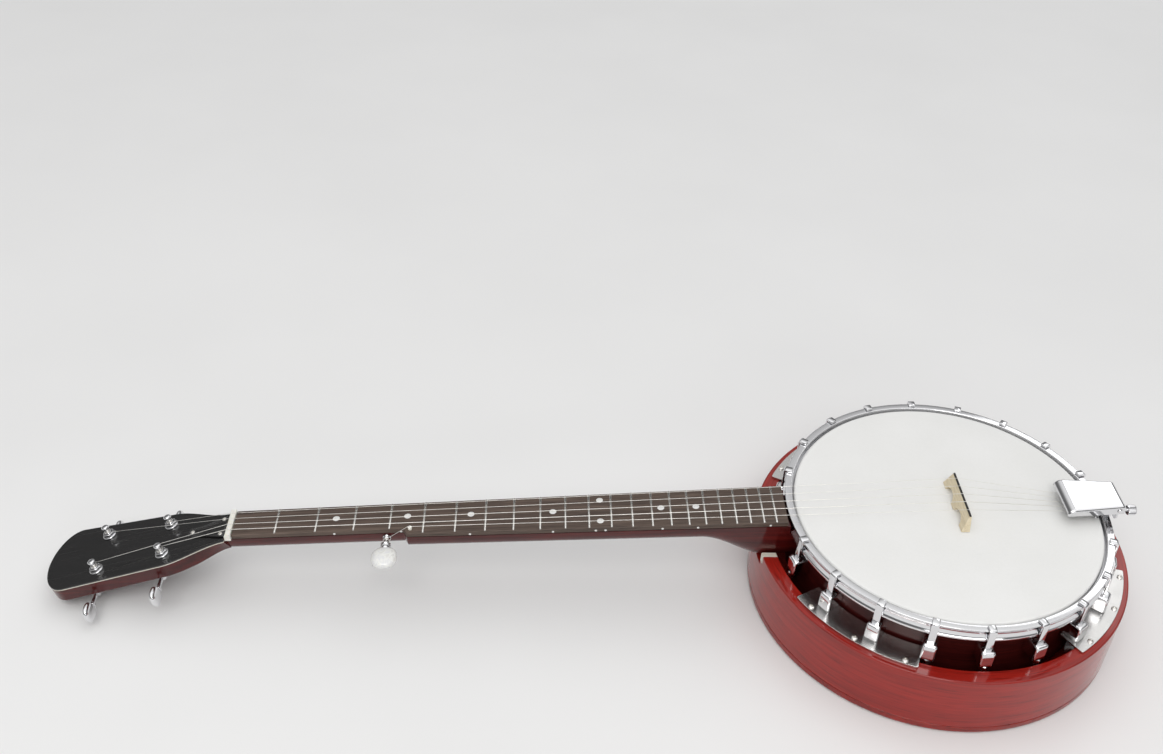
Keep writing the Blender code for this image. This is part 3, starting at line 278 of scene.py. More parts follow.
def turned(profile, steps=ROUND_STEPS):
    """Spin a profile of (radius, height) points about Z; it is a closed loop unless it starts on the axis."""
    shape = bmesh.new()
    points = [shape.verts.new((radius, 0, height)) for radius, height in profile]
    edges = [shape.edges.new(pair) for pair in zip(points, points[1:])]
    if profile[0][0] > 0:
        edges.append(shape.edges.new((points[-1], points[0])))
    bmesh.ops.spin(shape, geom=points + edges, cent=(0, 0, 0), axis=(0, 0, 1),
                   angle=2 * pi, steps=steps, use_merge=True)
    bmesh.ops.remove_doubles(shape, verts=shape.verts, dist=1e-6)
    return mesh_from(shape)


def loft(rings, closed=False):
    """Skin point rings of equal length; the ends are capped, or joined to each other when closed."""
    shape = bmesh.new()
    rows = [[shape.verts.new(point) for point in ring] for ring in rings]
    follow_rows = rows[1:] + rows[:1] if closed else rows[1:]
    for row, after in zip(rows, follow_rows):
        for index, vert in enumerate(row):
            follow = (index + 1) % len(row)
            shape.faces.new((vert, row[follow], after[follow], after[index]))
    if not closed:
        shape.faces.new(rows[0])
        shape.faces.new(rows[-1])
    return mesh_from(shape)


def prism(outline, bottom, top):
    """Extrude a plane outline of (x, y) points between two heights."""
    return loft([level(outline, z) for z in (bottom, top)])


def side_prism(outline, start, stop):
    """Extrude an (x, z) outline along Y."""
    return loft([upright(outline, y) for y in (start, stop)])


def slab(outline, levels):
    """Skin a plane outline through levels, each a height and how far the outline is drawn in there."""
    return loft([level(inset(outline, pull), z) for z, pull in levels])


def box(low, high):
    """A block between two corners."""
    return prism(corners(low[0], high[0], low[1], high[1]), low[2], high[2])


def bar(radius, start, end, steps=ROUND_STEPS, round_off=0.0):
    """A round bar from one point to another, with rounded ends if asked."""
    along = Vector(end) - Vector(start)
    profile = [(0, 0), (radius - round_off, 0), (radius, round_off), (radius, along.length - round_off),
               (radius - round_off, along.length), (0, along.length)]
    mesh = turned(profile if round_off else [profile[0], profile[2], profile[3], profile[5]], steps)
    return moved(mesh, shift(*start) @ facing(along))


def tube(route, radii, steps=10):
    """A round wire along a polyline, with one radius for each point."""
    rings = []
    for index, (point, radius) in enumerate(zip(route, radii)):
        before = route[max(index - 1, 0)]
        after = route[min(index + 1, len(route) - 1)]
        along = (after - before).normalized()
        side = along.cross(Vector((0, 0, 1))).normalized()
        up = side.cross(along)
        rings.append([point + side * x + up * y for x, y in circle(radius, steps)])
    return loft(rings)


def threaded(radius, start, end, pitch, depth):
    """Profile points of a threaded length, from the higher height to the lower."""
    points = []
    for step in range(int((start - end) / pitch)):
        height = start - pitch * step
        points += [(radius - depth, height), (radius, height - pitch * 0.35), (radius, height - pitch * 0.6)]
    return points


def moved(mesh, matrix):
    """A mesh after a move."""
    mesh.transform(matrix)
    return mesh


def together(*meshes):
    """One mesh that holds several."""
    shape = bmesh.new()
    for mesh in meshes:
        shape.from_mesh(mesh)
    return mesh_from(shape)


def placed(name, data):
    """A new object in the scene."""
    made = bpy.data.objects.new(name, data)
    bpy.context.collection.objects.link(made)
    return made


def combined(base, operation, *tools):
    """Apply Boolean operations of one kind to a mesh and return the resulting mesh."""
    helpers = [placed("helper", mesh) for mesh in (base, *tools)]
    for tool in helpers[1:]:
        step = helpers[0].modifiers.new(operation, "BOOLEAN")
        step.operation = operation
        step.object = tool
    view = bpy.context.evaluated_depsgraph_get()
    result = bpy.data.meshes.new_from_object(helpers[0].evaluated_get(view))
    for helper in helpers:
        bpy.data.objects.remove(helper)
    return result


def cut(base, *tools):
    """A body with others taken away from it."""
    return combined(base, "DIFFERENCE", *tools)


# Materials

def set_stops(ramp, stops):
    """Fill a colour ramp; each stop is a place and a colour or a grey."""
    while len(ramp.elements) < len(stops):
        ramp.elements.new(0.5)
    for element, (place, colour) in zip(ramp.elements, stops):
        element.position = place
        element.color = (colour, colour, colour, 1) if isinstance(colour, float) else (*colour, 1)


def scaled(values, first, others=None):
    """Three values times a factor; the last two may have a factor of their own."""
    others = first if others is None else others
    return (values[0] * first, values[1] * others, values[2] * others)


class Paint:
    """A node material while it is put together."""

    def __init__(self, name, slot, **values):
        self.finish = bpy.data.materials.new(name)
        self.finish.use_nodes = True
        self.slot = slot
        self.tree = self.finish.node_tree
        self.shader = self.tree.nodes["Principled BSDF"]
        for socket, value in values.items():
            self.shader.inputs[socket.replace("_", " ")].default_value = value

    def feed(self, socket, value):
        """Link an output to a socket, or set the socket's value."""
        if isinstance(value, bpy.types.NodeSocket):
            self.tree.links.new(value, socket)
        else:
            socket.default_value = value

    def node(self, kind, inputs=None, **settings):
        """Add a node; an input is a value or another node's output."""
        made = self.tree.nodes.new("ShaderNode" + kind)
        for name, value in settings.items():
            setattr(made, name, value)
        for name, value in (inputs or {}).items():
            self.feed(made.inputs[name], value)
        return made

    def place(self, scale=(1, 1, 1)):
        """Position in the piece's own frame, stretched."""
        spot = self.node("TexCoord").outputs["Object"]
        return self.node("Mapping", {"Vector": spot, "Scale": scale}).outputs["Vector"]

    def around(self, scale):
        """Position unrolled round the pot's axis: arc length, radius and height, stretched."""
        spot = self.node("TexCoord").outputs["Object"]
        x, y, z = self.node("SeparateXYZ", {"Vector": spot}).outputs
        length = self.times(self.math("ARCTAN2", y, x), SIDE_OUTER_R)
        radius = self.math("SQRT", self.plus(self.times(x, x), self.times(y, y)))
        flat = self.node("CombineXYZ", {"X": length, "Y": radius, "Z": z}).outputs["Vector"]
        return self.node("Mapping", {"Vector": flat, "Scale": scale}).outputs["Vector"]

    def math(self, operation, first, second=0.0):
        """A maths node's result."""
        return self.node("Math", {0: first, 1: second}, operation=operation).outputs[0]

    def plus(self, first, second):
        """A sum."""
        return self.math("ADD", first, second)

    def minus(self, first, second):
        """A difference."""
        return self.math("SUBTRACT", first, second)

    def times(self, first, second):
        """A product."""
        return self.math("MULTIPLY", first, second)

    def weigh(self, first, second, share):
        """A mean of two values, with the first one's share."""
        return self.plus(self.times(first, share), self.times(second, 1 - share))

    def noise(self, vector, scale, detail=4.0, roughness=0.55, distortion=0.0):
        """A noise value from 0 to 1."""
        return self.node("TexNoise", {"Vector": vector, "Scale": scale, "Detail": detail,
                                      "Roughness": roughness, "Distortion": distortion}).outputs["Fac"]

    def ramp(self, value, *stops):
        """Colours picked by a value; each stop is a place and a colour."""
        made = self.node("ValToRGB", {"Fac": value})
        set_stops(made.color_ramp, stops)
        return made.outputs["Color"]

    def mix(self, share, first, second):
        """A mix of two colours, through the colour sockets of the node."""
        first, second = [(*value, 1) if isinstance(value, tuple) else value for value in (first, second)]
        return self.node("Mix", {0: share, 6: first, 7: second}, data_type="RGBA").outputs[2]

    def span(self, value, low, high):
        """A value from 0 to 1 spread over another range."""
        return self.node("MapRange", {"Value": value, "To Min": low, "To Max": high}).outputs["Result"]

    def colour(self, value):
        """Set the base colour."""
        self.feed(self.shader.inputs["Base Color"], value)

    def rough(self, value):
        """Set the roughness."""
        self.feed(self.shader.inputs["Roughness"], value)

    def bump(self, height, distance, strength):
        """Relief on the surface under its clear coat."""
        made = self.node("Bump", {"Height": height, "Distance": distance, "Strength": strength})
        self.feed(self.shader.inputs["Normal"], made.outputs["Normal"])


def plated(name, slot, tint, low, high):
    """Plated metal: cloudy polish, fine rubbed lines and a few specks."""
    paint = Paint(name, slot, Metallic=1.0)
    clouds = paint.noise(paint.place(), 55.0, 5.0)
    lines = paint.noise(paint.place((30, 900, 260)), 3.0, 2.0)
    specks = paint.ramp(paint.noise(paint.place(), 1400.0, 2.0), (0.70, 0.0), (0.78, 1.0))
    paint.colour(paint.mix(paint.times(clouds, 0.35), tint, scaled(tint, 0.80)))
    worn = paint.plus(paint.weigh(clouds, lines, 0.7), paint.times(specks, 0.35))
    paint.rough(paint.span(worn, low, high))
    paint.bump(paint.plus(lines, clouds), 0.00002, 0.25)
    return paint


def lacquered_wood(name, slot, dark, middle, light, ring=False, grain=(3.0, 45.0, 45.0), gloss=0.9,
                   haze=0.05):
    """Stained, pore-filled wood under a clear gloss coat; its grain may run round the pot."""
    paint = Paint(name, slot, Coat_Weight=gloss, Coat_Roughness=haze, Coat_IOR=1.45, Specular_IOR_Level=0.12)
    where = paint.around if ring else paint.place
    figure = paint.noise(where(grain), 2.2, 6.0, 0.6, 1.2)
    stripes = paint.noise(where(scaled(grain, 5)), 2.0, 4.0, 0.6)
    pores = paint.noise(where(scaled(grain, 12, 22)), 1.0, 2.0, 0.5)
    stain = paint.ramp(paint.weigh(figure, stripes, 0.7), (0.30, dark), (0.50, middle), (0.72, light))
    pore_marks = paint.ramp(pores, (0.34, 1.0), (0.42, 0.0))
    paint.colour(paint.mix(paint.times(pore_marks, 0.55), stain, scaled(dark, 0.35)))
    paint.rough(paint.span(stripes, 0.30, 0.48))
    paint.bump(paint.minus(stripes, paint.times(pore_marks, 0.5)), 0.00003, 0.2)
    return paint


def open_wood(name, slot, dark, middle, light, grain, low, high, pore_share=0.6):
    """Bare or oiled wood with open pores along its grain."""
    paint = Paint(name, slot, Specular_IOR_Level=0.4)
    figure = paint.noise(paint.place(grain), 2.0, 7.0, 0.62, 0.8)
    streaks = paint.noise(paint.place(scaled(grain, 4)), 1.6, 4.0, 0.65)
    pores = paint.noise(paint.place(scaled(grain, 9, 14)), 1.0, 2.0)
    body = paint.ramp(paint.weigh(figure, streaks, 0.6), (0.32, dark), (0.50, middle), (0.70, light))
    pore_marks = paint.ramp(pores, (0.36, 1.0), (0.43, 0.0))
    paint.colour(paint.mix(paint.times(pore_marks, pore_share), body, scaled(dark, 0.4)))
    paint.rough(paint.span(streaks, low, high))
    paint.bump(paint.minus(streaks, pore_marks), 0.00006, 0.5)
    return paint


def head_skin():
    """Sprayed white coating on a polyester film: fine grit and faint clouds."""
    paint = Paint("coated_skin", "skin", Specular_IOR_Level=0.35)
    grit = paint.noise(paint.place(), 2600.0, 3.0, 0.7)
    clouds = paint.noise(paint.place(), 14.0, 4.0)
    fine = paint.noise(paint.place(), 420.0, 3.0)
    tone = paint.weigh(clouds, fine, 0.7)
    paint.colour(paint.ramp(tone, (0.30, (0.775, 0.775, 0.760)), (0.65, (0.815, 0.815, 0.805))))
    paint.rough(paint.span(clouds, 0.50, 0.66))
    paint.bump(grit, 0.00006, 0.35)
    return paint


def black_gloss():
    """Black lacquer with a clear coat, fine wipe marks and dust."""
    paint = Paint("black_lacquer", "black_lacquer", Coat_Weight=1.0, Coat_Roughness=0.03,
                  Specular_IOR_Level=0.4)
    wipes = paint.noise(paint.place((6, 160, 160)), 3.0, 4.0)
    dust = paint.ramp(paint.noise(paint.place(), 1900.0, 2.0), (0.73, 0.0), (0.80, 1.0))
    tone = paint.ramp(wipes, (0.30, (0.0040, 0.0038, 0.0040)), (0.75, (0.0095, 0.0085, 0.0085)))
    paint.colour(paint.mix(paint.times(dust, 0.20), tone, (0.10, 0.10, 0.10)))
    paint.rough(paint.span(wipes, 0.16, 0.34))
    paint.bump(wipes, 0.00001, 0.2)
    return paint


def bone_white(name, pale, warm):
    """Polished bone or cream plastic with faint streaks."""
    paint = Paint(name, "bone", Coat_Weight=0.3, Coat_Roughness=0.15, Subsurface_Weight=0.15,
                  Subsurface_Radius=(0.0012, 0.0009, 0.0006), Subsurface_Scale=1.0)
    streaks = paint.noise(paint.place((60, 700, 700)), 1.0, 4.0, 0.6, 0.6)
    pits = paint.ramp(paint.noise(paint.place(), 2200.0, 2.0), (0.28, 1.0), (0.36, 0.0))
    body = paint.ramp(streaks, (0.30, warm), (0.62, pale))
    paint.colour(paint.mix(paint.times(pits, 0.25), body, scaled(warm, 0.6)))
    paint.rough(paint.span(streaks, 0.28, 0.46))
    paint.bump(paint.minus(streaks, pits), 0.00002, 0.3)
    return paint


def pearl_white(name, scale):
    """Celluloid pearl: folded bright and grey bands under a gloss."""
    paint = Paint(name, "pearl", Coat_Weight=0.8, Coat_Roughness=0.06)
    folds = paint.noise(paint.place(), scale, 3.0, 0.6, 2.4)
    cells = paint.node("TexVoronoi", {"Vector": paint.place(), "Scale": scale * 1.3}).outputs["Distance"]
    tone = paint.weigh(folds, cells, 0.75)
    paint.colour(paint.ramp(tone, (0.28, (0.60, 0.59, 0.57)), (0.45, (0.80, 0.80, 0.77)),
                            (0.56, (0.70, 0.70, 0.71)), (0.70, (0.84, 0.84, 0.80))))
    paint.rough(paint.span(folds, 0.14, 0.32))
    paint.bump(folds, 0.00002, 0.2)
    return paint


CHROME = plated("chrome", "chrome", (0.80, 0.80, 0.815), 0.035, 0.16)
FLANGE = plated("flange_chrome", "chrome", (0.68, 0.67, 0.655), 0.14, 0.34)
NICKEL = plated("nickel_wire", "nickel", (0.86, 0.84, 0.80), 0.22, 0.40)
FRET_METAL = plated("fret_nickel", "nickel", (0.77, 0.755, 0.72), 0.10, 0.26)
STEEL = plated("plain_steel", "steel", (0.56, 0.56, 0.575), 0.26, 0.46)
BRASS = plated("ring_brass", "brass", (0.64, 0.47, 0.20), 0.18, 0.36)
# The neck's colours are partly painted shade: the mahogany's own red, made darker than the resonator's to
# stand for the shade the neck lies in.
SHADED_NECK_WOOD = lacquered_wood("neck_mahogany_painted_shade", "mahogany", (0.030, 0.0024, 0.0024), (0.062, 0.0044, 0.0040),
                           (0.115, 0.0088, 0.0066))
WALL_WOOD = lacquered_wood("resonator_mahogany", "mahogany", (0.190, 0.0074, 0.0048), (0.290, 0.0116, 0.0066),
                           (0.390, 0.0180, 0.0092), ring=True, grain=(2.6, 60.0, 60.0))
BACK_WOOD = lacquered_wood("back_mahogany", "mahogany", (0.120, 0.0056, 0.0040), (0.240, 0.0105, 0.0062),
                           (0.360, 0.0185, 0.0095), grain=(2.4, 30.0, 30.0))
RIM_WOOD = lacquered_wood("rim_maple", "rim_wood", (0.022, 0.0028, 0.0028), (0.050, 0.0055, 0.0048),
                          (0.090, 0.010, 0.0075), ring=True, grain=(3.0, 70.0, 70.0), gloss=0.3, haze=0.22)
ROSEWOOD = open_wood("rosewood_board", "rosewood", (0.040, 0.026, 0.020), (0.088, 0.060, 0.046),
                     (0.150, 0.108, 0.084), (4.0, 95.0, 95.0), 0.36, 0.56)
MAPLE = open_wood("bridge_maple", "maple", (0.60, 0.50, 0.33), (0.74, 0.64, 0.45), (0.80, 0.71, 0.53),
                  (95.0, 9.0, 95.0), 0.38, 0.55, 0.18)
EBONY = open_wood("bridge_ebony", "rosewood", (0.008, 0.007, 0.006), (0.016, 0.013, 0.011),
                  (0.036, 0.028, 0.022), (95.0, 9.0, 95.0), 0.30, 0.45)
SKIN = head_skin()
BLACK = black_gloss()
BONE = bone_white("nut_bone", (0.83, 0.82, 0.77), (0.77, 0.75, 0.67))
CREAM = bone_white("edge_cream", (0.70, 0.66, 0.58), (0.61, 0.57, 0.48))
PEARL = pearl_white("button_pearl", 95.0)
DOT_PEARL = pearl_white("dot_pearl", 260.0)


def piece(name, mesh, paint, node=None, body=ROOT, place=None, bevel=0.0, smooth=35, weighted=False):
    """A named piece with its finish, on its body, in place of a solid if one is named."""
    mesh.name = name
    mesh.materials.clear()
    mesh.materials.append(paint.finish)
    mesh.shade_smooth()
    mesh.set_sharp_from_angle(angle=radians(smooth))
    made = placed(name, mesh)
    if place is not None:
        made.matrix_world = place
    if bevel:
        edge = made.modifiers.new("edges", "BEVEL")
        edge.width = bevel
        edge.segments = 3
        edge.limit_method = "ANGLE"
        edge.angle_limit = radians(40)
        edge.harden_normals = True
    if weighted:
        made.modifiers.new("normals", "WEIGHTED_NORMAL").keep_sharp = True
    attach(made, body)
    if node:
        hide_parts(node)


def dome_screw(head_r, rise):
    """Small domed screw head with a cross recess, standing on Z = 0."""
    shell = [(0, rise)]
    for turn in (pi / 2 * share for share in shares(8)[1:]):
        shell.append((head_r * sin(turn), rise * 0.35 + rise * 0.65 * cos(turn)))
    head = turned([*shell, (head_r * 0.97, 0), (0, 0)], 32)
    reach, slot, floor = head_r * 0.62, head_r * 0.13, rise * 0.45
    return cut(head, box((-reach, -slot, floor), (reach, slot, rise * 2)),
               box((-slot, -reach, floor), (slot, reach, rise * 2)))


# Pot

def build_resonator():
    """Back, bent side with its notch, and the pale edging of the notch."""
    back = filleted(corners(0, SIDE_OUTER_R, 0, BACK_THICK), [0, 0.003, 0.0008, 0], 6)
    piece("resonator_back_panel", turned(back, RING_STEPS), BACK_WOOD, "resonator_back")

    wall = corners(SIDE_INNER_R, SIDE_OUTER_R, SIDE_BOTTOM, SIDE_TOP)
    ring = turned(filleted(wall, [0.0006, 0.0006, 0.0014, 0.0010], 5), RING_STEPS)
    strip, drop, slack, margin = 0.0055, 0.0092, 0.0001, 0.01
    start, stop, above = -SIDE_OUTER_R - margin, margin - SIDE_INNER_R, SIDE_TOP + margin
    notch = box((start, -NOTCH_HALF, NOTCH_BOTTOM), (stop, NOTCH_HALF, above))
    rebate = box((start, -NOTCH_HALF - strip, SIDE_TOP - drop), (stop, NOTCH_HALF + strip, above))
    piece("resonator_wall", cut(ring.copy(), notch, rebate), WALL_WOOD, "resonator_side", weighted=True)
    for side, label in ((-1, "near"), (1, "far")):
        low, high = sorted((side * NOTCH_HALF, side * (NOTCH_HALF + strip - slack)))
        block = box((start, low, SIDE_TOP - drop + slack), (stop, high, above))
        piece(f"notch_edging_{label}", combined(ring.copy(), "INTERSECT", block), CREAM, bevel=0.0003)


def holds_plate(angle):
    """Whether a hook passes through a flange plate, clear of its ends."""
    margin = 0.02
    return any(abs(angle - middle) < PLATE_HALF_SPAN - margin for middle in PLATE_ANGLES)


def build_plates():
    """Four flange plates with the screws that hold them to the resonator."""
    tail_screws, neck_screws = (19, 34, 52), (114, 130, 146.5)
    steps, hole_r, margin = 40, 0.0031, 0.01
    rounding = {0: 0.003, steps: 0.003, steps + 1: 0.0012, 2 * steps + 1: 0.0012}
    for number, middle in enumerate(PLATE_ANGLES, start=1):
        low, high = middle - PLATE_HALF_SPAN, middle + PLATE_HALF_SPAN
        outline = arc(0, 0, PLATE_OUTER_R, low, high, steps) + arc(0, 0, PLATE_INNER_R, high, low, steps)
        outline = filleted(outline, [rounding.get(index, 0) for index in range(len(outline))], 5)
        holes = []
        for angle in HOOK_ANGLES:
            if abs(angle - middle) < PLATE_HALF_SPAN and holds_plate(angle):
                x, y = HOOK_R * cos(angle), HOOK_R * sin(angle)
                holes.append(bar(hole_r, (x, y, PLATE_BOTTOM - margin), (x, y, PLATE_TOP + margin), 24))
        piece(f"flange_{number}", cut(prism(outline, PLATE_BOTTOM, PLATE_TOP), *holes), FLANGE,
              f"flange_plate_{number}", bevel=0.0006)
        for mark, degrees in enumerate(tail_screws if abs(middle) < pi / 2 else neck_screws, start=1):
            turn = radians(degrees if middle > 0 else -degrees)
            piece(f"flange_{number}_screw_{mark}", dome_screw(0.0026, 0.0014), NICKEL,
                  place=spin(turn, "Z") @ shift(PLATE_SCREW_R, 0, PLATE_TOP))


def build_pot():
    """Rim, drum head with its flesh hoop, and the tension hoop."""
    rim = filleted(corners(RIM_INNER_R, RIM_OUTER_R, RIM_BOTTOM, RIM_TOP), [0.0015, 0.0015, 0.0006, 0.0010])
    bore = bar(ROD_BORE_R, (-0.2, 0, ROD_Z), (0.2, 0, ROD_Z), 32)
    piece("rim_shell", cut(turned(rim, RING_STEPS), bore), RIM_WOOD, "rim", weighted=True)

    bend, middle_r = 0.00255, 0.07
    bend_x, bend_z = SKIN_R - bend, HEAD_TOP - bend
    foot, under = FLESH_BOTTOM + SKIN_THICK, HEAD_TOP - SKIN_THICK
    skin = [(0, HEAD_TOP), (middle_r, HEAD_TOP), *arc(bend_x, bend_z, bend, pi / 2, 0, 8), (SKIN_R, foot),
            (SKIRT_R, foot), *arc(bend_x, bend_z, bend - SKIN_THICK, 0, pi / 2, 8), (middle_r, under),
            (0, under)]
    piece("head_skin", turned(skin, RING_STEPS), SKIN, "drum_head")
    flesh = filleted(corners(SKIN_R, FLESH_OUTER_R, FLESH_BOTTOM, FLESH_TOP), 0.0009)
    piece("flesh_hoop", turned(flesh, RING_STEPS), STEEL)

    cove_low, cove_high, cove_depth, cove_steps = HOOP_BOTTOM + 0.0023, HOOP_TOP - 0.0009, 0.0017, 14
    half = (cove_high - cove_low) / 2
    cove_r = (half ** 2 + cove_depth ** 2) / (2 * cove_depth)
    spread = atan2(half, cove_r - cove_depth)
    cove_x = HOOP_OUTER_R - cove_depth + cove_r
    cove = arc(cove_x, cove_low + half, cove_r, pi + spread, pi - spread, cove_steps)
    ledge = HOOP_TOP - 0.0052
    outline = [(HOOP_INNER_R, HOOP_BOTTOM), (HOOP_OUTER_R, HOOP_BOTTOM), *cove,
               (HOOP_OUTER_R - 0.0004, HOOP_TOP), (HOOP_LIP_R, HOOP_TOP), (HOOP_LIP_R, ledge),
               (HOOP_INNER_R, ledge)]
    rounding = [0.0006, 0.0007, 0.0003, *[0] * (cove_steps - 1), 0.0004, 0.0005, 0.0009, 0.0005, 0.0003]
    piece("hoop", turned(filleted(outline, rounding, 6), 2 * RING_STEPS), CHROME, "tension_hoop")


def bracket_mesh(through_plate):
    """Flat hook over the hoop, its shoe on the rim and its nut, on the +X side of the pot."""
    claw_low, foot, tip = HOOP_TOP + GAP, SHOE_TOP - 0.0025, HOOP_OUTER_R - 0.0055
    claw_top, back = claw_low + BAND_THICK, BAND_R + BAND_THICK
    outline = filleted([(tip, claw_low), (BAND_R, claw_low), (BAND_R, foot), (back, foot), (back, claw_top),
                        (tip, claw_top)], [0.0008, 0.0005, 0, 0, 0.0024, 0.0010], 6)
    edge = [(-0.0032, 0.00045), (-0.00307, 0.00014), (-0.00275, 0)]
    edge += [(-y, pull) for y, pull in reversed(edge)]
    band = loft([upright(inset(outline, pull), y) for y, pull in edge])

    rings = []
    rounding, tall, reach, half = 0.0022, SHOE_TOP - SHOE_BOTTOM, 0.1571, 0.0065
    levels = [(0.0, 0.0007), (0.0003, 0.0002), (0.0008, 0.0)]
    levels += [(tall - rounding + y, 0.0004 + rounding - x) for x, y in arc(0, 0, rounding, 0, pi / 2, 6)]
    for height, pull in levels:
        ring = filleted(corners(RIM_OUTER_R + GAP, reach - pull, pull - half, half - pull),
                        [0.0004, rounding, rounding, 0.0004], 6)
        rings.append(level(ring, SHOE_BOTTOM + height))
    shoe = loft(rings)

    nut_top = PLATE_BOTTOM - GAP if through_plate else SHOE_BOTTOM + GAP
    nut_low = nut_top - 0.005
    nut = loft([level(circle(radius, 6), height) for height, radius in (
        (nut_low, 0.0043), (nut_low + 0.0006, 0.0050), (nut_top - 0.0006, 0.0050), (nut_top, 0.0043))])
    rod_r, rod_top, rod_low = 0.0025, SHOE_BOTTOM + 0.0025, nut_low - 0.003
    thread = threaded(rod_r, nut_top + 0.001, rod_low + 0.0004, 0.0008, 0.00035)
    rod = [(0, rod_top), (rod_r, rod_top), *thread, (0.0018, rod_low), (0, rod_low)]
    return together(band, shoe, moved(together(nut, turned(rod, 28)), shift(HOOK_R, 0, 0)))


def build_brackets():
    """Eighteen hooks with their shoes and nuts."""
    meshes = {through: bracket_mesh(through) for through in (False, True)}
    for number, angle in enumerate(HOOK_ANGLES, start=1):
        piece(f"hook_{number:02d}", meshes[holds_plate(angle)].copy(), CHROME,
              f"tension_bracket_{number:02d}", place=spin(angle, "Z"), smooth=32)


# Neck

def board_far(distance):
    """Half width of the board on the first-string side."""
    return blend(BOARD_END_HALF, BOARD_NUT_HALF, distance / NUT_AT)


def board_near(distance):
    """Half width of the board on the fifth-string side, with its shoulder."""
    return blend(board_far(distance), BOARD_NARROW, smoothstep((distance - SHOULDER_AT) / SHOULDER_LENGTH))


def shoulder_stations():
    """Distances that follow the shoulder's curve."""
    return [SHOULDER_AT + SHOULDER_LENGTH * share for share in shares(12)]


def neck_bottom(distance):
    """Height of the neck's back below the board's top, with the heel's sweep."""
    end_depth, nut_depth = 0.0185, 0.0155
    slim = NECK_TOP - blend(end_depth, nut_depth, distance / NUT_AT)
    heel = HEEL_BOTTOM - HOOP_TOP - NECK_RISE
    return blend(heel, slim, smoothstep((distance - HEEL_FLAT) / HEEL_SWEEP))


def section(distance, top, bottom, far, near):
    """Ring of points of a flat-topped, round-backed neck section."""
    middle, half, fullness = (far - near) / 2, (far + near) / 2, 0.7
    ring = []
    for side, depth in arc(0, 0, 1, 0, pi, 43):
        spread = abs(side) ** fullness * (1 if side > 0 else -1)
        ring.append((-distance, middle + half * spread, blend(top, bottom, abs(depth) ** fullness)))
    return ring


def neck_shaft():
    """Round-backed shaft from inside the pot's outline to under the headstock."""
    slack, run = 0.0002, 0.035
    sweep_end, shoulder_end = HEEL_FLAT + HEEL_SWEEP, SHOULDER_AT + SHOULDER_LENGTH
    stations = [-0.011, -0.004, 0, 0.008]
    stations += [HEEL_FLAT + HEEL_SWEEP * share for share in shares(28)]
    stations += [blend(sweep_end, PIP_AT, share) for share in shares(12)[1:-1]]
    stations += shoulder_stations()
    stations += [blend(shoulder_end, NUT_AT, share) for share in shares(6)[1:]] + [HEAD_AT + GAP]
    rings = []
    for distance in stations:
        reach = min(distance, NUT_AT)
        rings.append(section(distance, NECK_TOP, neck_bottom(reach), board_far(reach) - slack,
                             board_near(reach) - slack))
    for share in shares(12)[1:]:
        along = run * share
        face = NECK_TOP - along * tan(HEAD_ANGLE)
        back = face - HEAD_THICK / cos(HEAD_ANGLE) + 2 * GAP
        half = blend(BOARD_NARROW, HEAD_NUT_HALF, share)
        bottom = blend(neck_bottom(NUT_AT), back, smoothstep(share))
        rings.append(section(HEAD_AT + along, face - HEAD_THICK / 4, bottom, half, half))
    return loft(rings)


def headstock_half(along):
    """Half width of the headstock at a distance from the nut."""
    if along < HEAD_FLARE_END:
        return blend(HEAD_NUT_HALF, HEAD_FLARE_HALF, smoothstep(along / HEAD_FLARE_END))
    return blend(HEAD_FLARE_HALF, HEAD_WIDE_HALF, (along - HEAD_FLARE_END) / (HEAD_WIDE_AT - HEAD_FLARE_END))


def headstock_outline(start=0.0, narrowing=0.0):
    """Symmetrical outline with a flare at the nut, narrowed there if asked, and an arched crown."""
    stations = [start] + [HEAD_FLARE_END * share for share in shares(28)[1:]]
    stations += [blend(HEAD_FLARE_END, HEAD_WIDE_AT, share) for share in shares(4)[1:]]
    side = []
    for along in stations:
        side.append((-along, headstock_half(along) - narrowing * (1 - smoothstep(along / 0.03))))
    crown = [(-blend(HEAD_WIDE_AT, HEAD_LENGTH, y), HEAD_WIDE_HALF * x) for x, y in arc(0, 0, 1, 0, pi, 48)]
    return side + crown[1:-1] + [(x, -y) for x, y in reversed(side)]


def headstock():
    """Flat headstock with a rounded back edge that narrows into the neck."""
    rounding = 0.0018
    face, back = headstock_outline(-2 * GAP), headstock_outline(-2 * GAP, 0.006)
    rings = [level(face, 0)]
    for x, y in arc(0, 0, 1, 0, pi / 2, 5):
        share = 0.86 + 0.14 * y
        edge = [(blend(a[0], b[0], share), blend(a[1], b[1], share)) for a, b in zip(face, back)]
        edge = [(min(along, 2 * GAP), across) for along, across in inset(edge, rounding * (1 - x))]
        rings.append(level(edge, -HEAD_THICK + rounding * (1 - y)))
    return loft(rings)


def tuner_holes():
    """Holes of the tuners' bushings, in the headstock's frame."""
    hole_r, low, high = 0.0052, -0.03, 0.015
    return [bar(hole_r, (-along, y, low), (-along, y, high), 32) for along, y in TUNERS]


def truss_slot():
    """Space of the truss rod's channel, in the neck's frame."""
    half, depth, start, past_nut = 0.0032, 0.0075, 0.0573, 0.018
    return box((-HEAD_AT - past_nut, -half, NECK_TOP - depth), (-start, half, BOARD_THICK))


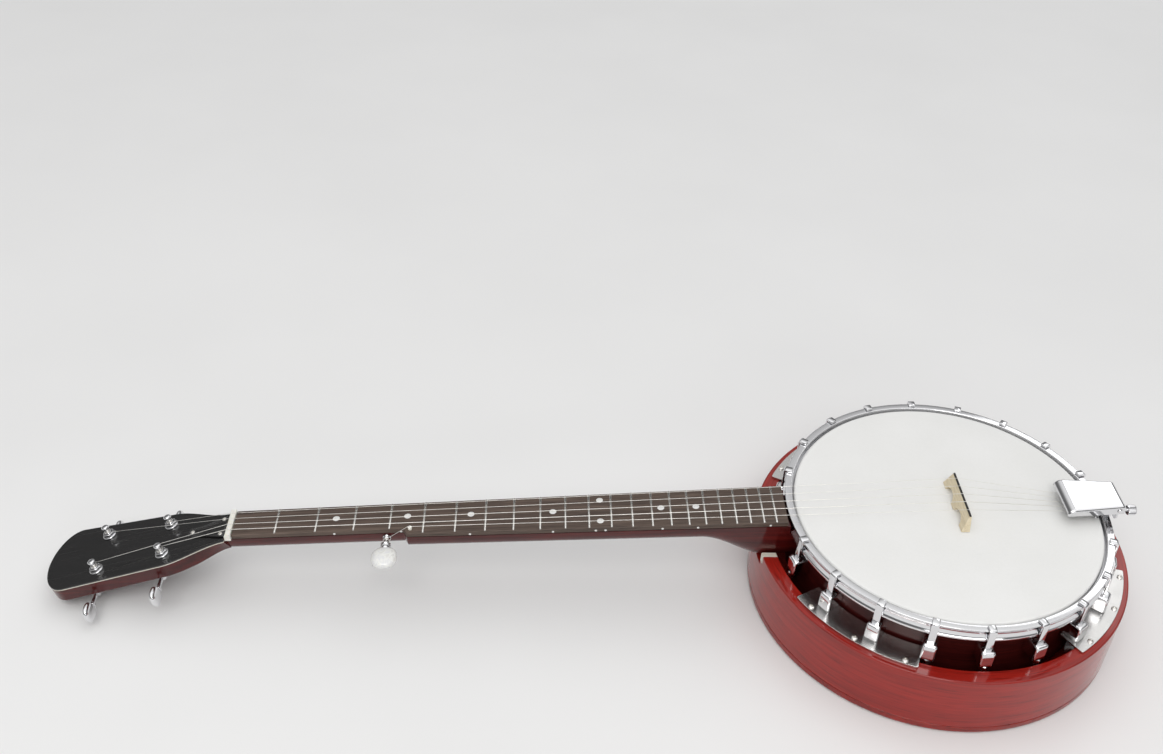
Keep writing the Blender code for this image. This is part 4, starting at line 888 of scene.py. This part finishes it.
def build_neck():
    """Neck with its heel, headstock and pockets."""
    to_neck = NECK_FRAME.inverted()
    rod_end, peg_end, peg_r, seat_r, outside = -0.1653, -0.0092, 0.0036, 0.0042, 0.0086
    whole = combined(neck_shaft(), "UNION", moved(headstock(), to_neck @ HEAD_FRAME))
    tools = [moved(tool, to_neck) for tool in (
        bar(SKIRT_R, (0, 0, -0.1), (0, 0, 0.2), RING_STEPS),
        bar(BAND_R, (0, 0, HOOP_BOTTOM - 0.0006), (0, 0, 0.2), RING_STEPS),
        bar(ROD_BORE_R, (rod_end, 0, ROD_Z), (0, 0, ROD_Z), 24))]
    tools += [moved(tool, to_neck @ PEG_FRAME) for tool in (
        bar(peg_r, (0, 0, peg_end), (0, 0, outside), 24), bar(seat_r, (0, 0, 0), (0, 0, outside), 32))]
    tools += [moved(tool, to_neck @ HEAD_FRAME) for tool in tuner_holes()]
    piece("neck_body", cut(cut(whole, *tools), truss_slot()), SHADED_NECK_WOOD, "neck", place=NECK_FRAME, smooth=40,
          weighted=True)


def fret(number):
    """One crowned fret with bevelled ends, in the neck's frame."""
    half, rise, tang, setback = 0.0011, 0.0010, -0.0006, 0.0005
    middle = fret_at(number)
    near, far = -board_near(middle) + setback, board_far(middle) - setback
    crown = [(half * x, rise * y) for x, y in arc(0, 0, 1, 0, pi, 10)]
    outline = [(half, tang), *crown, (-half, tang)]
    rings = []
    for y, height, width in ((near, 0.05, 0.70), (near + 0.0004, 0.72, 0.92), (near + 0.0011, 1, 1),
                             (far - 0.0011, 1, 1), (far - 0.0004, 0.72, 0.92), (far, 0.05, 0.70)):
        rings.append([(-middle + x * width, y, z * height if z > 0 else z) for x, z in outline])
    return loft(rings)


def fret_space(number):
    """Distance of the middle of the space before a fret."""
    return (fret_at(number) + fret_at(number - 1)) / 2


def inlay(radius, spot, normal):
    """Thin disc set almost flush in a face."""
    rise, depth = 0.00006, -0.0008
    disc = turned([(0, rise), (radius - 0.00015, rise), (radius, 0), (radius, depth), (0, depth)], 32)
    return moved(disc, shift(*spot) @ facing(normal))


def build_board():
    """Fingerboard with its frets and dots."""
    outline = [(-distance, -board_near(distance)) for distance in (0, *shoulder_stations(), NUT_AT)]
    outline += [(-NUT_AT, board_far(NUT_AT)), (0, board_far(0))]
    piece("board", prism(outline, -BOARD_THICK, 0), ROSEWOOD, "fingerboard", place=NECK_FRAME, bevel=0.0008)
    frets = [fret(number) for number in range(1, FRETS + 1)]
    piece("fret_wires", together(*frets), FRET_METAL, place=NECK_FRAME)
    dot_places = ((3, 0.0026), (5, 0.0024), (7, 0.0018), (10, 0.0011), (12, 0.0137), (12, -0.0131),
                  (15, 0.0009), (17, 0.0008))
    dots = [inlay(0.0031, (-fret_space(number), y, 0), (0, 0, 1)) for number, y in dot_places]
    side_dots = []
    shifts = {5: (0.0047,), 12: (-0.0043, 0.0043)}
    for number in (3, 5, 7, 10, 12, 15, 17, 22):
        for offset in shifts.get(number, (0,)):
            distance = fret_space(number) + offset
            side_dots.append(inlay(0.0011, (-distance, -board_near(distance), -0.0032), (0, -1, 0)))
    piece("board_dots", together(*dots), DOT_PEARL, place=NECK_FRAME)
    piece("side_dots", together(*side_dots), DOT_PEARL, place=NECK_FRAME)


def build_nut_and_pip():
    """Nut with its string grooves, and the fifth string's pip."""
    face = -NUT_AT - GAP
    profile = filleted(corners(face - NUT_LENGTH, face, -BOARD_THICK, NUT_RISE), [0, 0, 0.0009, 0.0022], 6)
    grooves = []
    start, stop = -NUT_AT - 0.01, -NUT_AT + 0.004
    for number in range(4):
        y, radius = nut_string_y(number), STRING_R[number] * 1.25
        grooves.append(bar(radius, (start, y, NUT_RISE + GAP), (stop, y, NUT_RISE + GAP), 16))
        grooves.append(box((start, y - radius, NUT_RISE - GAP / 2), (stop, y + radius, 0.004)))
    block = side_prism(profile, -0.0153, 0.0176)
    piece("top_nut", cut(block, *grooves), BONE, "string_nut", place=NECK_FRAME, bevel=0.0003)

    head_r, groove_r, foot = 0.0018, 0.0013, -0.0008
    pip = [(0, PIP_RISE), (0.0014, PIP_RISE), (head_r, PIP_RISE - 0.0003), (head_r, PIP_RISE - 0.0006),
           (groove_r, PIP_RISE - 0.0009), (groove_r, PIP_RISE - 0.0012), (head_r, PIP_RISE - 0.0017),
           (head_r, GAP), (0.0012, foot), (0, foot)]
    piece("pip", turned(pip, 32), BONE, "fifth_pip", place=NECK_FRAME @ shift(-PIP_AT, PIP_Y, 0))


def build_head_face():
    """Black headstock face on its pale ply, and the truss rod's cover with three screws."""
    slot = moved(truss_slot(), HEAD_FRAME.inverted() @ NECK_FRAME)
    outline = headstock_outline()
    ply_top = 0.0012
    piece("head_ply", cut(prism(outline, GAP, ply_top), slot, *tuner_holes()), CREAM, place=HEAD_FRAME)
    face = slab(outline, ((ply_top + 0.00002, 0), (VENEER_TOP - 0.0004, 0), (VENEER_TOP - 0.00012, 0.00012),
                          (VENEER_TOP, 0.0004)))
    face = cut(face, slot, *tuner_holes())
    piece("head_face", face, BLACK, "headstock_veneer", place=HEAD_FRAME, weighted=True)

    tip_x, tip_r = -0.0305, 0.0055
    side = [(-GAP - 0.0302 * share, blend(0.0125, tip_r, smoothstep(share * 1.08))) for share in shares(24)]
    tip = arc(tip_x, 0, tip_r, pi / 2, 3 * pi / 2, 20)
    outline = side + tip[1:-1] + [(x, -y) for x, y in reversed(side)]
    low = VENEER_TOP + GAP
    top = low + 0.0015
    cover = slab(outline, ((low, 0), (top - 0.0006, 0), (top - 0.0002, 0.0003), (top, 0.0008)))
    piece("rod_cover", cover, BLACK, "truss_cover", place=HEAD_FRAME)
    for number, (x, y) in enumerate(((-0.0035, 0.0092), (-0.0035, -0.0092), (-0.0312, 0)), start=1):
        piece(f"rod_cover_screw_{number}", dome_screw(0.0019, 0.0011), NICKEL,
              place=HEAD_FRAME @ shift(x, y, top))


# Tuners

def hexagon(radius, low, high, chamfer, bore):
    """Hexagonal nut with chamfers and a bore."""
    steps = 36
    rings = []
    for height, size in ((low, radius), (high - chamfer, radius), (high, radius - chamfer)):
        ring = []
        for step, (x, y) in enumerate(circle(size, steps)):
            flat = cos(pi / 6) / cos((2 * pi * step / steps % (pi / 3)) - pi / 6)
            ring.append((flat * x, flat * y, height))
        rings.append(ring)
    rings += [level(circle(bore, steps), height) for height in (high, low)]
    return loft(rings, closed=True)


def tuner_plate_mesh():
    """Back plate, bushing with its washer and nut, lugs of the worm shaft and plate screws."""
    low, edge = PLATE_BACK - 0.0012, 0.0003
    bore_r, sleeve_r, washer_r = 0.0033, 0.0046, 0.0060
    outline = corners(-0.0085, WORM_OFFSET + 0.0034, -0.0075, 0.0075)
    outline = filleted(outline, [0.004, 0.0012, 0.0012, 0.004], 6)
    plate = cut(slab(outline, ((low, edge), (low + edge, 0), (PLATE_BACK, 0))),
                bar(bore_r, (0, 0, -0.05), (0, 0, 0.02), 32))
    washer_low = VENEER_TOP + GAP
    washer_top = washer_low + 0.0014
    washer = turned(filleted(corners(sleeve_r, washer_r, washer_low, washer_top), [0, 0, 0.0007, 0], 5))
    sleeve = corners(bore_r, sleeve_r, low + GAP, washer_top + 0.0026)
    sleeve = turned(filleted(sleeve, [0, 0, 0.0005, 0.0002]))
    nut = hexagon(0.0052, washer_top, washer_top + 0.0023, 0.0004, sleeve_r)
    lugs, screws = [], []
    lug = corners(WORM_OFFSET - 0.0034, WORM_OFFSET + 0.0031, low - 0.0075, low + 0.0002)
    lug = filleted(lug, [0.003, 0.003, 0, 0], 8)
    for end in (-1, 1):
        bore = bar(0.0023, (WORM_OFFSET, -0.02, WHEEL_Z), (WORM_OFFSET, 0.02, WHEEL_Z), 24)
        lugs.append(cut(side_prism(lug, *sorted((end * 0.0052, end * 0.0068))), bore))
        screws.append(moved(dome_screw(0.0015, 0.0008), shift(-0.0057, end * 0.0052, low) @ spin(pi, "X")))
    return together(plate, washer, sleeve, nut, *lugs, *screws)


def tuner_post_mesh():
    """String post with a waist and a cap, on its worm wheel."""
    top, foot, waist = VENEER_TOP + 0.0118, WHEEL_Z - 0.0030, POST_WAIST_Z
    cap_r, stem_r = 0.0033, 0.003
    profile = [(0, top), (0.0012, top), (0.0022, top - 0.0001), (0.0029, top - 0.0005), (cap_r, top - 0.0011),
               (cap_r, waist + 0.0024), (0.0031, waist + 0.0019)]
    for share in shares(8):
        profile.append((0.0023 + 0.0007 * (2 * share - 1) ** 2, waist + 0.0017 - 0.0034 * share))
    profile += [(stem_r, waist - 0.0021), (stem_r, foot), (0, foot)]
    hole = bar(0.0005, (0.01, 0, waist + 0.0002), (-0.01, 0, waist + 0.0002), 16)
    tooth = [(0.0047, -0.00045), (0.0054, -0.00038), (0.0059, -0.00022)]
    tooth += [(radius, -half) for radius, half in reversed(tooth)]
    outline = []
    for number in range(WHEEL_TEETH):
        middle = 2 * pi * (number + 0.5) / WHEEL_TEETH
        for radius, half in tooth:
            outline.append((radius * cos(middle + half / radius), radius * sin(middle + half / radius)))
    wheel = prism(outline, WHEEL_Z - 0.0015, WHEEL_Z + 0.0015)
    cap = moved(dome_screw(0.0026, 0.0012), shift(0, 0, WHEEL_Z - 0.0026) @ spin(pi, "X"))
    return together(cut(turned(profile), hole), wheel, cap)


def worm_mesh():
    """Right-handed thread about +Y whose ridge faces the wheel at its middle."""
    pitch, turns, core = 2 * pi * 0.0056 / WHEEL_TEETH, 2.6, 0.0017
    steps = round(turns * 28)
    rings = []
    for step in range(steps + 1):
        turn = 2 * pi * turns * (step / steps - 0.5)
        fade = min(1.0, 6 * min(step, steps - step) / steps + 0.1)
        tip = core + 0.0013 * fade
        rings.append([(-radius * cos(turn), pitch * turn / (2 * pi) + half, radius * sin(turn))
                      for radius, half in ((core, -0.00045), (tip, -0.0002), (tip, 0.0002), (core, 0.00045))])
    return loft(rings)


def lobed(size, power, steps=40):
    """Flattened rounded body of a button; its size runs along X, Y and Z."""
    shape = bmesh.new()
    bmesh.ops.create_uvsphere(shape, u_segments=steps, v_segments=steps // 2, radius=0.5)
    for vert in shape.verts:
        for axis in range(3):
            grown = (abs(vert.co[axis]) * 2) ** power[axis] / 2
            vert.co[axis] = grown * size[axis] if vert.co[axis] > 0 else -grown * size[axis]
    return mesh_from(shape)


def tuner_button_mesh(side):
    """Oval button on its collared shaft with the worm, about the shaft's axis along Y."""
    reach = 0.030
    shaft = bar(0.0020, (0, -side * 0.0088, 0), (0, side * reach, 0), 32, 0.0003)
    collar = turned(filleted([(0.0019, 0), (0.0034, 0), (0.0027, 0.0026), (0.0019, 0.0026)],
                             [0, 0.0004, 0.0003, 0]), 32)
    collar = moved(collar, shift(0, side * 0.0225, 0) @ spin(pi / 2 * side, "X"))
    body = moved(lobed((0.0065, 0.0165, 0.0165), (0.8, 0.7, 0.8)), shift(0, side * reach, 0))
    return together(shaft, worm_mesh(), collar, body)


def winding(radius, core, turns, middle, start_angle):
    """Wire wound round a post up to its middle height, in the post's frame."""
    pitch = 2.1 * radius
    rise = pitch * turns
    rings = []
    for share in shares(round(turns * 24)):
        angle = start_angle - 2 * pi * turns * (1 - share)
        out = Vector((cos(angle), sin(angle), 0))
        point = out * (core + radius) + Vector((0, 0, middle - rise * (1 - share)))
        rings.append([point + out * x + Vector((0, 0, y)) for x, y in circle(radius, 8)])
    return loft(rings)


def build_tuners():
    """Four headstock machines and the wire on their posts."""
    for number, (along, y) in enumerate(TUNERS, start=1):
        side = 1 if y > 0 else -1
        label, node = f"machine_{number}", f"tuner_{number}"
        place = HEAD_FRAME @ shift(-along, y, 0) @ spin(pi, "Z")
        shaft = place @ shift(WORM_OFFSET, 0, WHEEL_Z)
        piece(f"{label}_plate", tuner_plate_mesh(), CHROME, f"{node}_plate", place=place)
        piece(f"{label}_post", tuner_post_mesh(), CHROME, f"{node}_post", f"{node}_post", place)
        piece(f"{label}_button", tuner_button_mesh(-side), CHROME, f"{node}_button", f"{node}_button", shaft)
        wire = winding(STRING_R[number - 1], POST_WIRE_R, 3.25, POST_WAIST_Z, side * pi / 2)
        piece(f"{label}_wire", wire, NICKEL, body=f"{node}_post", place=place)


def build_peg():
    """Fifth-string peg: stem and housing, string sleeve and pearl button."""
    start, end = PEG_HOUSING_AT, PEG_HOUSING_END
    stem = [(0, end - 0.0025), (0.0023, end - 0.0025), (0.0023, end), (0.0038, end), (0.0044, end - 0.0003),
            (0.0046, end - 0.0009), (0.0046, end - 0.0014), (0.0043, end - 0.0017), (0.0046, end - 0.0020),
            (0.0046, start + 0.0004), (0.0042, start), (0.0015, start), (0.0015, 0.0014), (0.0031, 0.0014),
            (0.0036, 0.0009), (0.0036, 0.0003), (0.0030, 0.0003), (0.0030, -0.0080), (0.0026, -0.0086),
            (0, -0.0086)]
    piece("fifth_stem", turned(stem), CHROME, "peg_stem", place=PEG_FRAME)

    low, high = PEG_SLEEVE_AT, PEG_SLEEVE_AT + PEG_SLEEVE
    bore_r, edge_r, rim_r = 0.0018, 0.0031, 0.0034
    sleeve = [(bore_r, high), (edge_r, high), (rim_r, high - 0.0003), (rim_r, high - 0.0008)]
    for share in shares(8):
        sleeve.append((PEG_WIRE_R + 0.0006 * (2 * share - 1) ** 4, blend(high - 0.0012, low + 0.0012, share)))
    sleeve += [(rim_r, low + 0.0008), (rim_r, low + 0.0003), (edge_r, low), (bore_r, low)]
    piece("fifth_sleeve", turned(sleeve), CHROME, "peg_sleeve", "peg_sleeve", PEG_FRAME)
    wire = winding(STRING_R[4], PEG_WIRE_R, 4.0, PEG_WIRE_AT, pi / 2)
    piece("fifth_wire", wire, NICKEL, body="peg_sleeve", place=PEG_FRAME)

    base, foot = end + 0.0008, end - 0.0022
    size = (0.0227, 0.010, 0.0235)
    body = moved(lobed(size, (0.85, 0.75, 0.85), 56), shift(0, 0, base + size[2] / 2))
    collar = turned([(0, base + 0.003), (0.0026, base + 0.003), (0.0034, base + 0.0015), (0.0036, base),
                     (0.0033, base - 0.0004), (0.0020, base - 0.0004), (0.0020, foot), (0, foot)])
    piece("fifth_button", body, PEARL, "peg_button", "peg_button", PEG_FRAME)
    piece("fifth_button_collar", collar, CHROME, body="peg_button", place=PEG_FRAME)


# Tailpiece

def tail_half(x):
    """Half width of the cover, tapering to the rear."""
    return blend(0.0222, 0.0175, (x - TAIL_FRONT_X) / (TAIL_REAR_X - TAIL_FRONT_X))


def tail_profile(shrink, floor, open_front):
    """Side outline of the cover from its front lip over its top to its rear; shrinking gives its inside."""
    roll, lip_turn, rear_roll = 0.008, radians(66), 0.0045
    front_z, rear_z = HOOP_TOP + 0.016 - roll, HOOP_TOP + 0.0178 - rear_roll
    front = arc(TAIL_FRONT_X + roll * sin(lip_turn), front_z, roll - shrink, pi / 2 + lip_turn, pi / 2, 18)
    rear = arc(TAIL_REAR_X - rear_roll, rear_z, rear_roll - shrink, pi / 2, 0, 14)
    start_x, start_z = front[0]
    if open_front:
        start_x = TAIL_FRONT_X - 0.005
    return [(start_x, floor), (start_x, start_z), *front[1:], *rear, (TAIL_REAR_X - shrink, floor)]


def tail_body(shrink, floor, edge=0.0):
    """The cover's solid with its long edges rounded by the edge radius, or the space inside it."""
    rows = []
    for x, y in arc(0, 0, edge, 0, pi / 2, 8) if edge else [(0, 0)]:
        pull, drop = edge - x, edge - y
        outline = tail_profile(shrink + drop, floor, open_front=not edge)
        rows.append([(along, tail_half(along) - shrink - pull, z) for along, z in outline])
    return loft([[(x, -y, z) for x, y, z in row] for row in rows] + rows[::-1])


def build_tail_cover():
    """Pressed cover with a screw tab and a string bar."""
    cover = cut(tail_body(0, SKIRT_Z, 0.0024), tail_body(TAIL_SHEET, SKIRT_Z - 0.009))
    tab_half, bore_r = 0.008, 0.0023
    tab = filleted(corners(-tab_half, tab_half, HOOP_TOP - 0.008, SKIRT_Z + 0.0012), [0.004, 0.004, 0, 0], 8)
    tab = loft([[(x, y, z) for y, z in tab] for x in (TAB_X, TAIL_REAR_X)])
    half = tail_half(ANCHOR_X) - TAIL_SHEET / 2
    anchor = box((ANCHOR_X, -half, SKIRT_Z - 0.004), (ANCHOR_X + 0.003, half, SKIRT_Z + 0.002))
    pin_bore = bar(bore_r, PIN + Vector((0, -0.1, 0)), PIN + Vector((0, 0.1, 0)), 32)
    screw_bore = bar(bore_r, (TAB_X - 0.01, 0, SCREW_Z), (TAIL_REAR_X + 0.01, 0, SCREW_Z), 32)
    piece("tail_cover", cut(combined(cover, "UNION", tab, anchor), pin_bore, screw_bore), CHROME, "tailpiece",
          "tailpiece", smooth=30, weighted=True)


def build_thumb_screw():
    """Threaded shank with a knurled, dished knob, along +X from the tab."""
    tip, knob, tail = 0.0037, 0.013, -0.014
    thread = threaded(0.0020, tip - 0.0004, tail + 0.0004, 0.0007, 0.0003)
    shank = turned([(0, tip), (0.0012, tip), *thread, (0.0017, tail), (0, tail)], 28)
    shank = moved(shank, spin(-pi / 2, "Y"))
    ridges, steps = 24, 96
    rings = []
    for offset, scale in ((0, 0.84), (0.0007, 0.985), (0.0010, 1), (0.0070, 1), (0.0073, 0.985),
                          (0.0080, 0.84)):
        ring = []
        for y, z in circle(scale, steps):
            radius = 0.0046 + 0.0002 * cos(ridges * atan2(z, y))
            ring.append((knob + offset, radius * y, radius * z))
        rings.append(ring)
    dish = turned(corners(0.0016, 0.0030, 0, 0.0004), 32)
    dish = moved(dish, shift(knob + 0.0079, 0, 0) @ spin(pi / 2, "Y"))
    piece("thumb_screw", together(shank, loft(rings), dish), CHROME, "tail_screw", "tail_screw",
          shift(TAB_X, 0, SCREW_Z))


def build_hanger():
    """Hanger block on the rim, its strap and the hinge pin."""
    back = STRAP_X + 0.002
    block = filleted(corners(RIM_OUTER_R + GAP, back, SHOE_BOTTOM, SHOE_TOP), [0, 0.0015, 0.003, 0], 6)
    block = cut(side_prism(block, -0.009, 0.009), bar(ROD_BORE_R, (0.1, 0, ROD_Z), (0.3, 0, ROD_Z), 32))
    strap = filleted(corners(STRAP_X, back, SHOE_TOP - 0.002, PIN.z + 0.0021), [0, 0, 0.0009, 0.0009])
    reach = Vector((0, tail_half(PIN.x) + 0.0015, 0))
    pin = bar(0.0020, PIN - reach, PIN + reach, 32, 0.0006)
    strap = side_prism(strap, -0.006, 0.006)
    piece("hanger", together(block, strap, pin), CHROME, "tail_hanger", bevel=0.0004)


# Bridge and strings

def build_bridge():
    """Three-footed maple bridge with a dark cap that the strings lie in."""
    half, foot, arch, lean = 0.033, 0.009, 0.0065, 0.0004
    arch_half = (half - 1.5 * foot) / 2
    centre = foot / 2 + arch_half
    arches = []
    for middle in (-centre, centre):
        arches += [(middle + arch_half * x, arch * y) for x, y in arc(0, 0, 1, pi, 0, 28)]
    cap, waist = BRIDGE_HEIGHT - 0.0011, half - 0.004
    outline = [(-half, 0), (-half + foot, 0), *arches[1:-1], (half - foot, 0), (half, 0),
               (half - 0.0012, 0.0045), (waist, cap), (-waist, cap), (-half + 0.0012, 0.0045)]
    back, front, thin = 0.0040, -0.0040, 0.0022
    rings = []
    for share in (0, 0.06, 0.94, 1):
        ring = []
        for y, z in outline:
            lift = 0.00025 if share in (0, 1) and z == 0 else 0
            low_x = blend(front, back - thin - lean, z / cap)
            ring.append((blend(low_x, back - lean * z / cap, share), y, z + lift))
        rings.append(ring)
    spot = shift(BRIDGE_X, 0, BRIDGE_FOOT_Z)
    piece("bridge_body", loft(rings), MAPLE, "bridge", place=spot, bevel=0.0002)
    rings = []
    for y, scale in ((-waist, 0.8), (-waist + 0.0006, 1), (waist - 0.0006, 1), (waist, 0.8)):
        low, high = 0.0010 * scale, 0.0009 * scale
        side = [(low, cap), (high, BRIDGE_HEIGHT - 0.0002), (high * 0.6, BRIDGE_HEIGHT)]
        rings.append([(BRIDGE_LINE + x, y, z) for x, z in side]
                     + [(BRIDGE_LINE - x, y, z) for x, z in reversed(side)])
    piece("bridge_cap", loft(rings), EBONY, place=spot, bevel=0.0002)


def nut_string_y(number):
    """Where one of the four long strings crosses the nut, from the centre line."""
    offset, spacing = 0.002, 0.007
    return offset + spacing * (1.5 - number)


def string_route(number):
    """Points of a string from its tuner over its nut and the bridge to the string bar."""
    radius = STRING_R[number]
    if number < 4:
        along, y = TUNERS[number]
        side = 1 if y > 0 else -1
        start = HEAD_FRAME @ Vector((-along, y - side * (POST_WIRE_R + radius), POST_WAIST_Z))
        height = NUT_RISE + GAP / 2 + radius
        rest = ((-NUT_AT - GAP - NUT_LENGTH + 0.001, height - 0.0001), (-NUT_AT - GAP, height))
        rest = [NECK_FRAME @ Vector((x, nut_string_y(number), z)) for x, z in rest]
    else:
        start = PEG_FRAME @ Vector((0, PEG_WIRE_R + radius, PEG_WIRE_AT))
        height = PIP_RISE + GAP / 3 + radius
        rest = [NECK_FRAME @ Vector((-PIP_AT + edge, PIP_Y, height)) for edge in (-0.0016, 0.0016)]
    bridge_spacing, tail_spacing = 0.0105, 0.006
    bridge_y, tail_y = bridge_spacing * (2 - number), tail_spacing * (2 - number)
    crossing = Vector((BRIDGE_X + BRIDGE_LINE, bridge_y, BRIDGE_FOOT_Z + BRIDGE_HEIGHT + GAP / 3 + radius))
    tail = [Vector((x, tail_y, LIP_Z)) for x in (TAIL_FRONT_X, ANCHOR_X - 0.0004)]
    return [start, *rest, crossing, *tail]


def build_strings():
    """Five strings whose tails follow the tailpiece, each with its twisted loop end."""
    thick, thin = 1.9, 1.6
    for number, radius in enumerate(STRING_R):
        corner_points = string_route(number)
        last = len(corner_points) - 2
        route, radii = [corner_points[0]], [radius]
        for index, (start, end) in enumerate(zip(corner_points, corner_points[1:])):
            steps = 12 if index == last else 6
            for step in range(1, steps + 1):
                route.append(start.lerp(end, step / steps))
                twist = index == last and step > 2
                radii.append(radius * (thick if step % 2 else thin) if twist else radius)
        mesh = tube(route, radii)
        mesh.materials.append(NICKEL.finish)
        mesh.shade_smooth()
        made = placed(f"wire_{number + 1}", mesh)
        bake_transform(made)
        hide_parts(f"string_{number + 1}")


def finish_hidden_nodes():
    """Finishes of the solids that keep their own shape."""
    for name, paint in (("tone_ring", BRASS), ("coordinator_rod", STEEL), ("truss_rod", STEEL)):
        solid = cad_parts[name]
        solid.data.materials.clear()
        solid.data.materials.append(paint.finish)


# Stage

def build_camera():
    """Camera where the photograph was taken from."""
    forward = Vector((0.08251237, 0.79411776, -0.60213677))
    right = Vector((0.99640526, -0.05410203, 0.06518847))
    data = bpy.data.cameras.new("camera")
    made = placed("camera", data)
    turn = Matrix((right, right.cross(forward), -forward)).transposed().to_4x4()
    made.matrix_world = shift(-0.3799, -0.8287, 0.8775) @ turn
    width, height, focal, sensor = 1163.0, 754.0, 1263.263, 36.0
    middle_x, middle_y = 637.937, 373.627
    data.sensor_width = sensor
    data.lens = focal * sensor / width
    data.shift_x = (width / 2 - middle_x) / width
    data.shift_y = (middle_y - height / 2) / width
    data.clip_start = 0.01
    bpy.context.scene.camera = made


def area_light(name, spot, aim, size, power, colour=(1, 1, 1)):
    """A soft rectangular lamp that faces a point."""
    data = bpy.data.lights.new(name, "AREA")
    data.shape = "RECTANGLE"
    data.size, data.size_y = size
    data.energy = power
    data.color = colour
    placed(name, data).matrix_world = shift(*spot) @ facing(Vector(aim) - Vector(spot), "-Z")


def build_stage():
    """Pale floor, soft lamps and a plain graded surround."""
    paint = Paint("floor_pale", "skin", Specular_IOR_Level=0.2)
    clouds = paint.noise(paint.place(), 3.0, 3.0)
    paint.colour(paint.ramp(clouds, (0.35, (0.79, 0.79, 0.79)), (0.65, (0.81, 0.81, 0.81))))
    paint.rough(paint.span(clouds, 0.75, 0.9))
    half = 60
    mesh = prism(corners(-half, half, -half, half), -0.02, -GAP)
    mesh.materials.append(paint.finish)
    placed("floor", mesh)

    area_light("key", (-0.65, -1.95, 2.45), (-0.28, 0, 0.1), (1.9, 1.5), 32.0, (1.0, 0.99, 0.97))
    area_light("window", (1.10, 1.62, 1.60), (0.15, 0, 0.10), (0.62, 0.50), 1.3, (0.98, 0.99, 1.0))
    area_light("front", (0.2, -2.2, 0.9), (0.0, 0, 0.08), (1.8, 0.4), 6.0)

    world = bpy.data.worlds.new("surround")
    bpy.context.scene.world = world
    world.use_nodes = True
    tree = world.node_tree
    spot = tree.nodes.new("ShaderNodeTexCoord")
    parts = tree.nodes.new("ShaderNodeSeparateXYZ")
    shade = tree.nodes.new("ShaderNodeValToRGB")
    tree.links.new(spot.outputs["Generated"], parts.inputs[0])
    tree.links.new(parts.outputs["Z"], shade.inputs["Fac"])
    set_stops(shade.color_ramp, ((0.0, 0.78), (0.06, 0.70), (0.13, 0.20), (0.30, 0.13), (0.52, 0.22),
                                 (0.66, 0.68), (0.82, 1.16), (1.0, 1.28)))
    tree.links.new(shade.outputs["Color"], tree.nodes["Background"].inputs["Color"])
    bpy.context.scene.view_settings.view_transform = "Standard"


build_camera()
build_resonator()
build_plates()
build_pot()
build_brackets()
build_neck()
build_board()
build_nut_and_pip()
build_head_face()
build_tuners()
build_peg()
build_tail_cover()
build_thumb_screw()
build_hanger()
build_bridge()
build_strings()
finish_hidden_nodes()
build_stage()
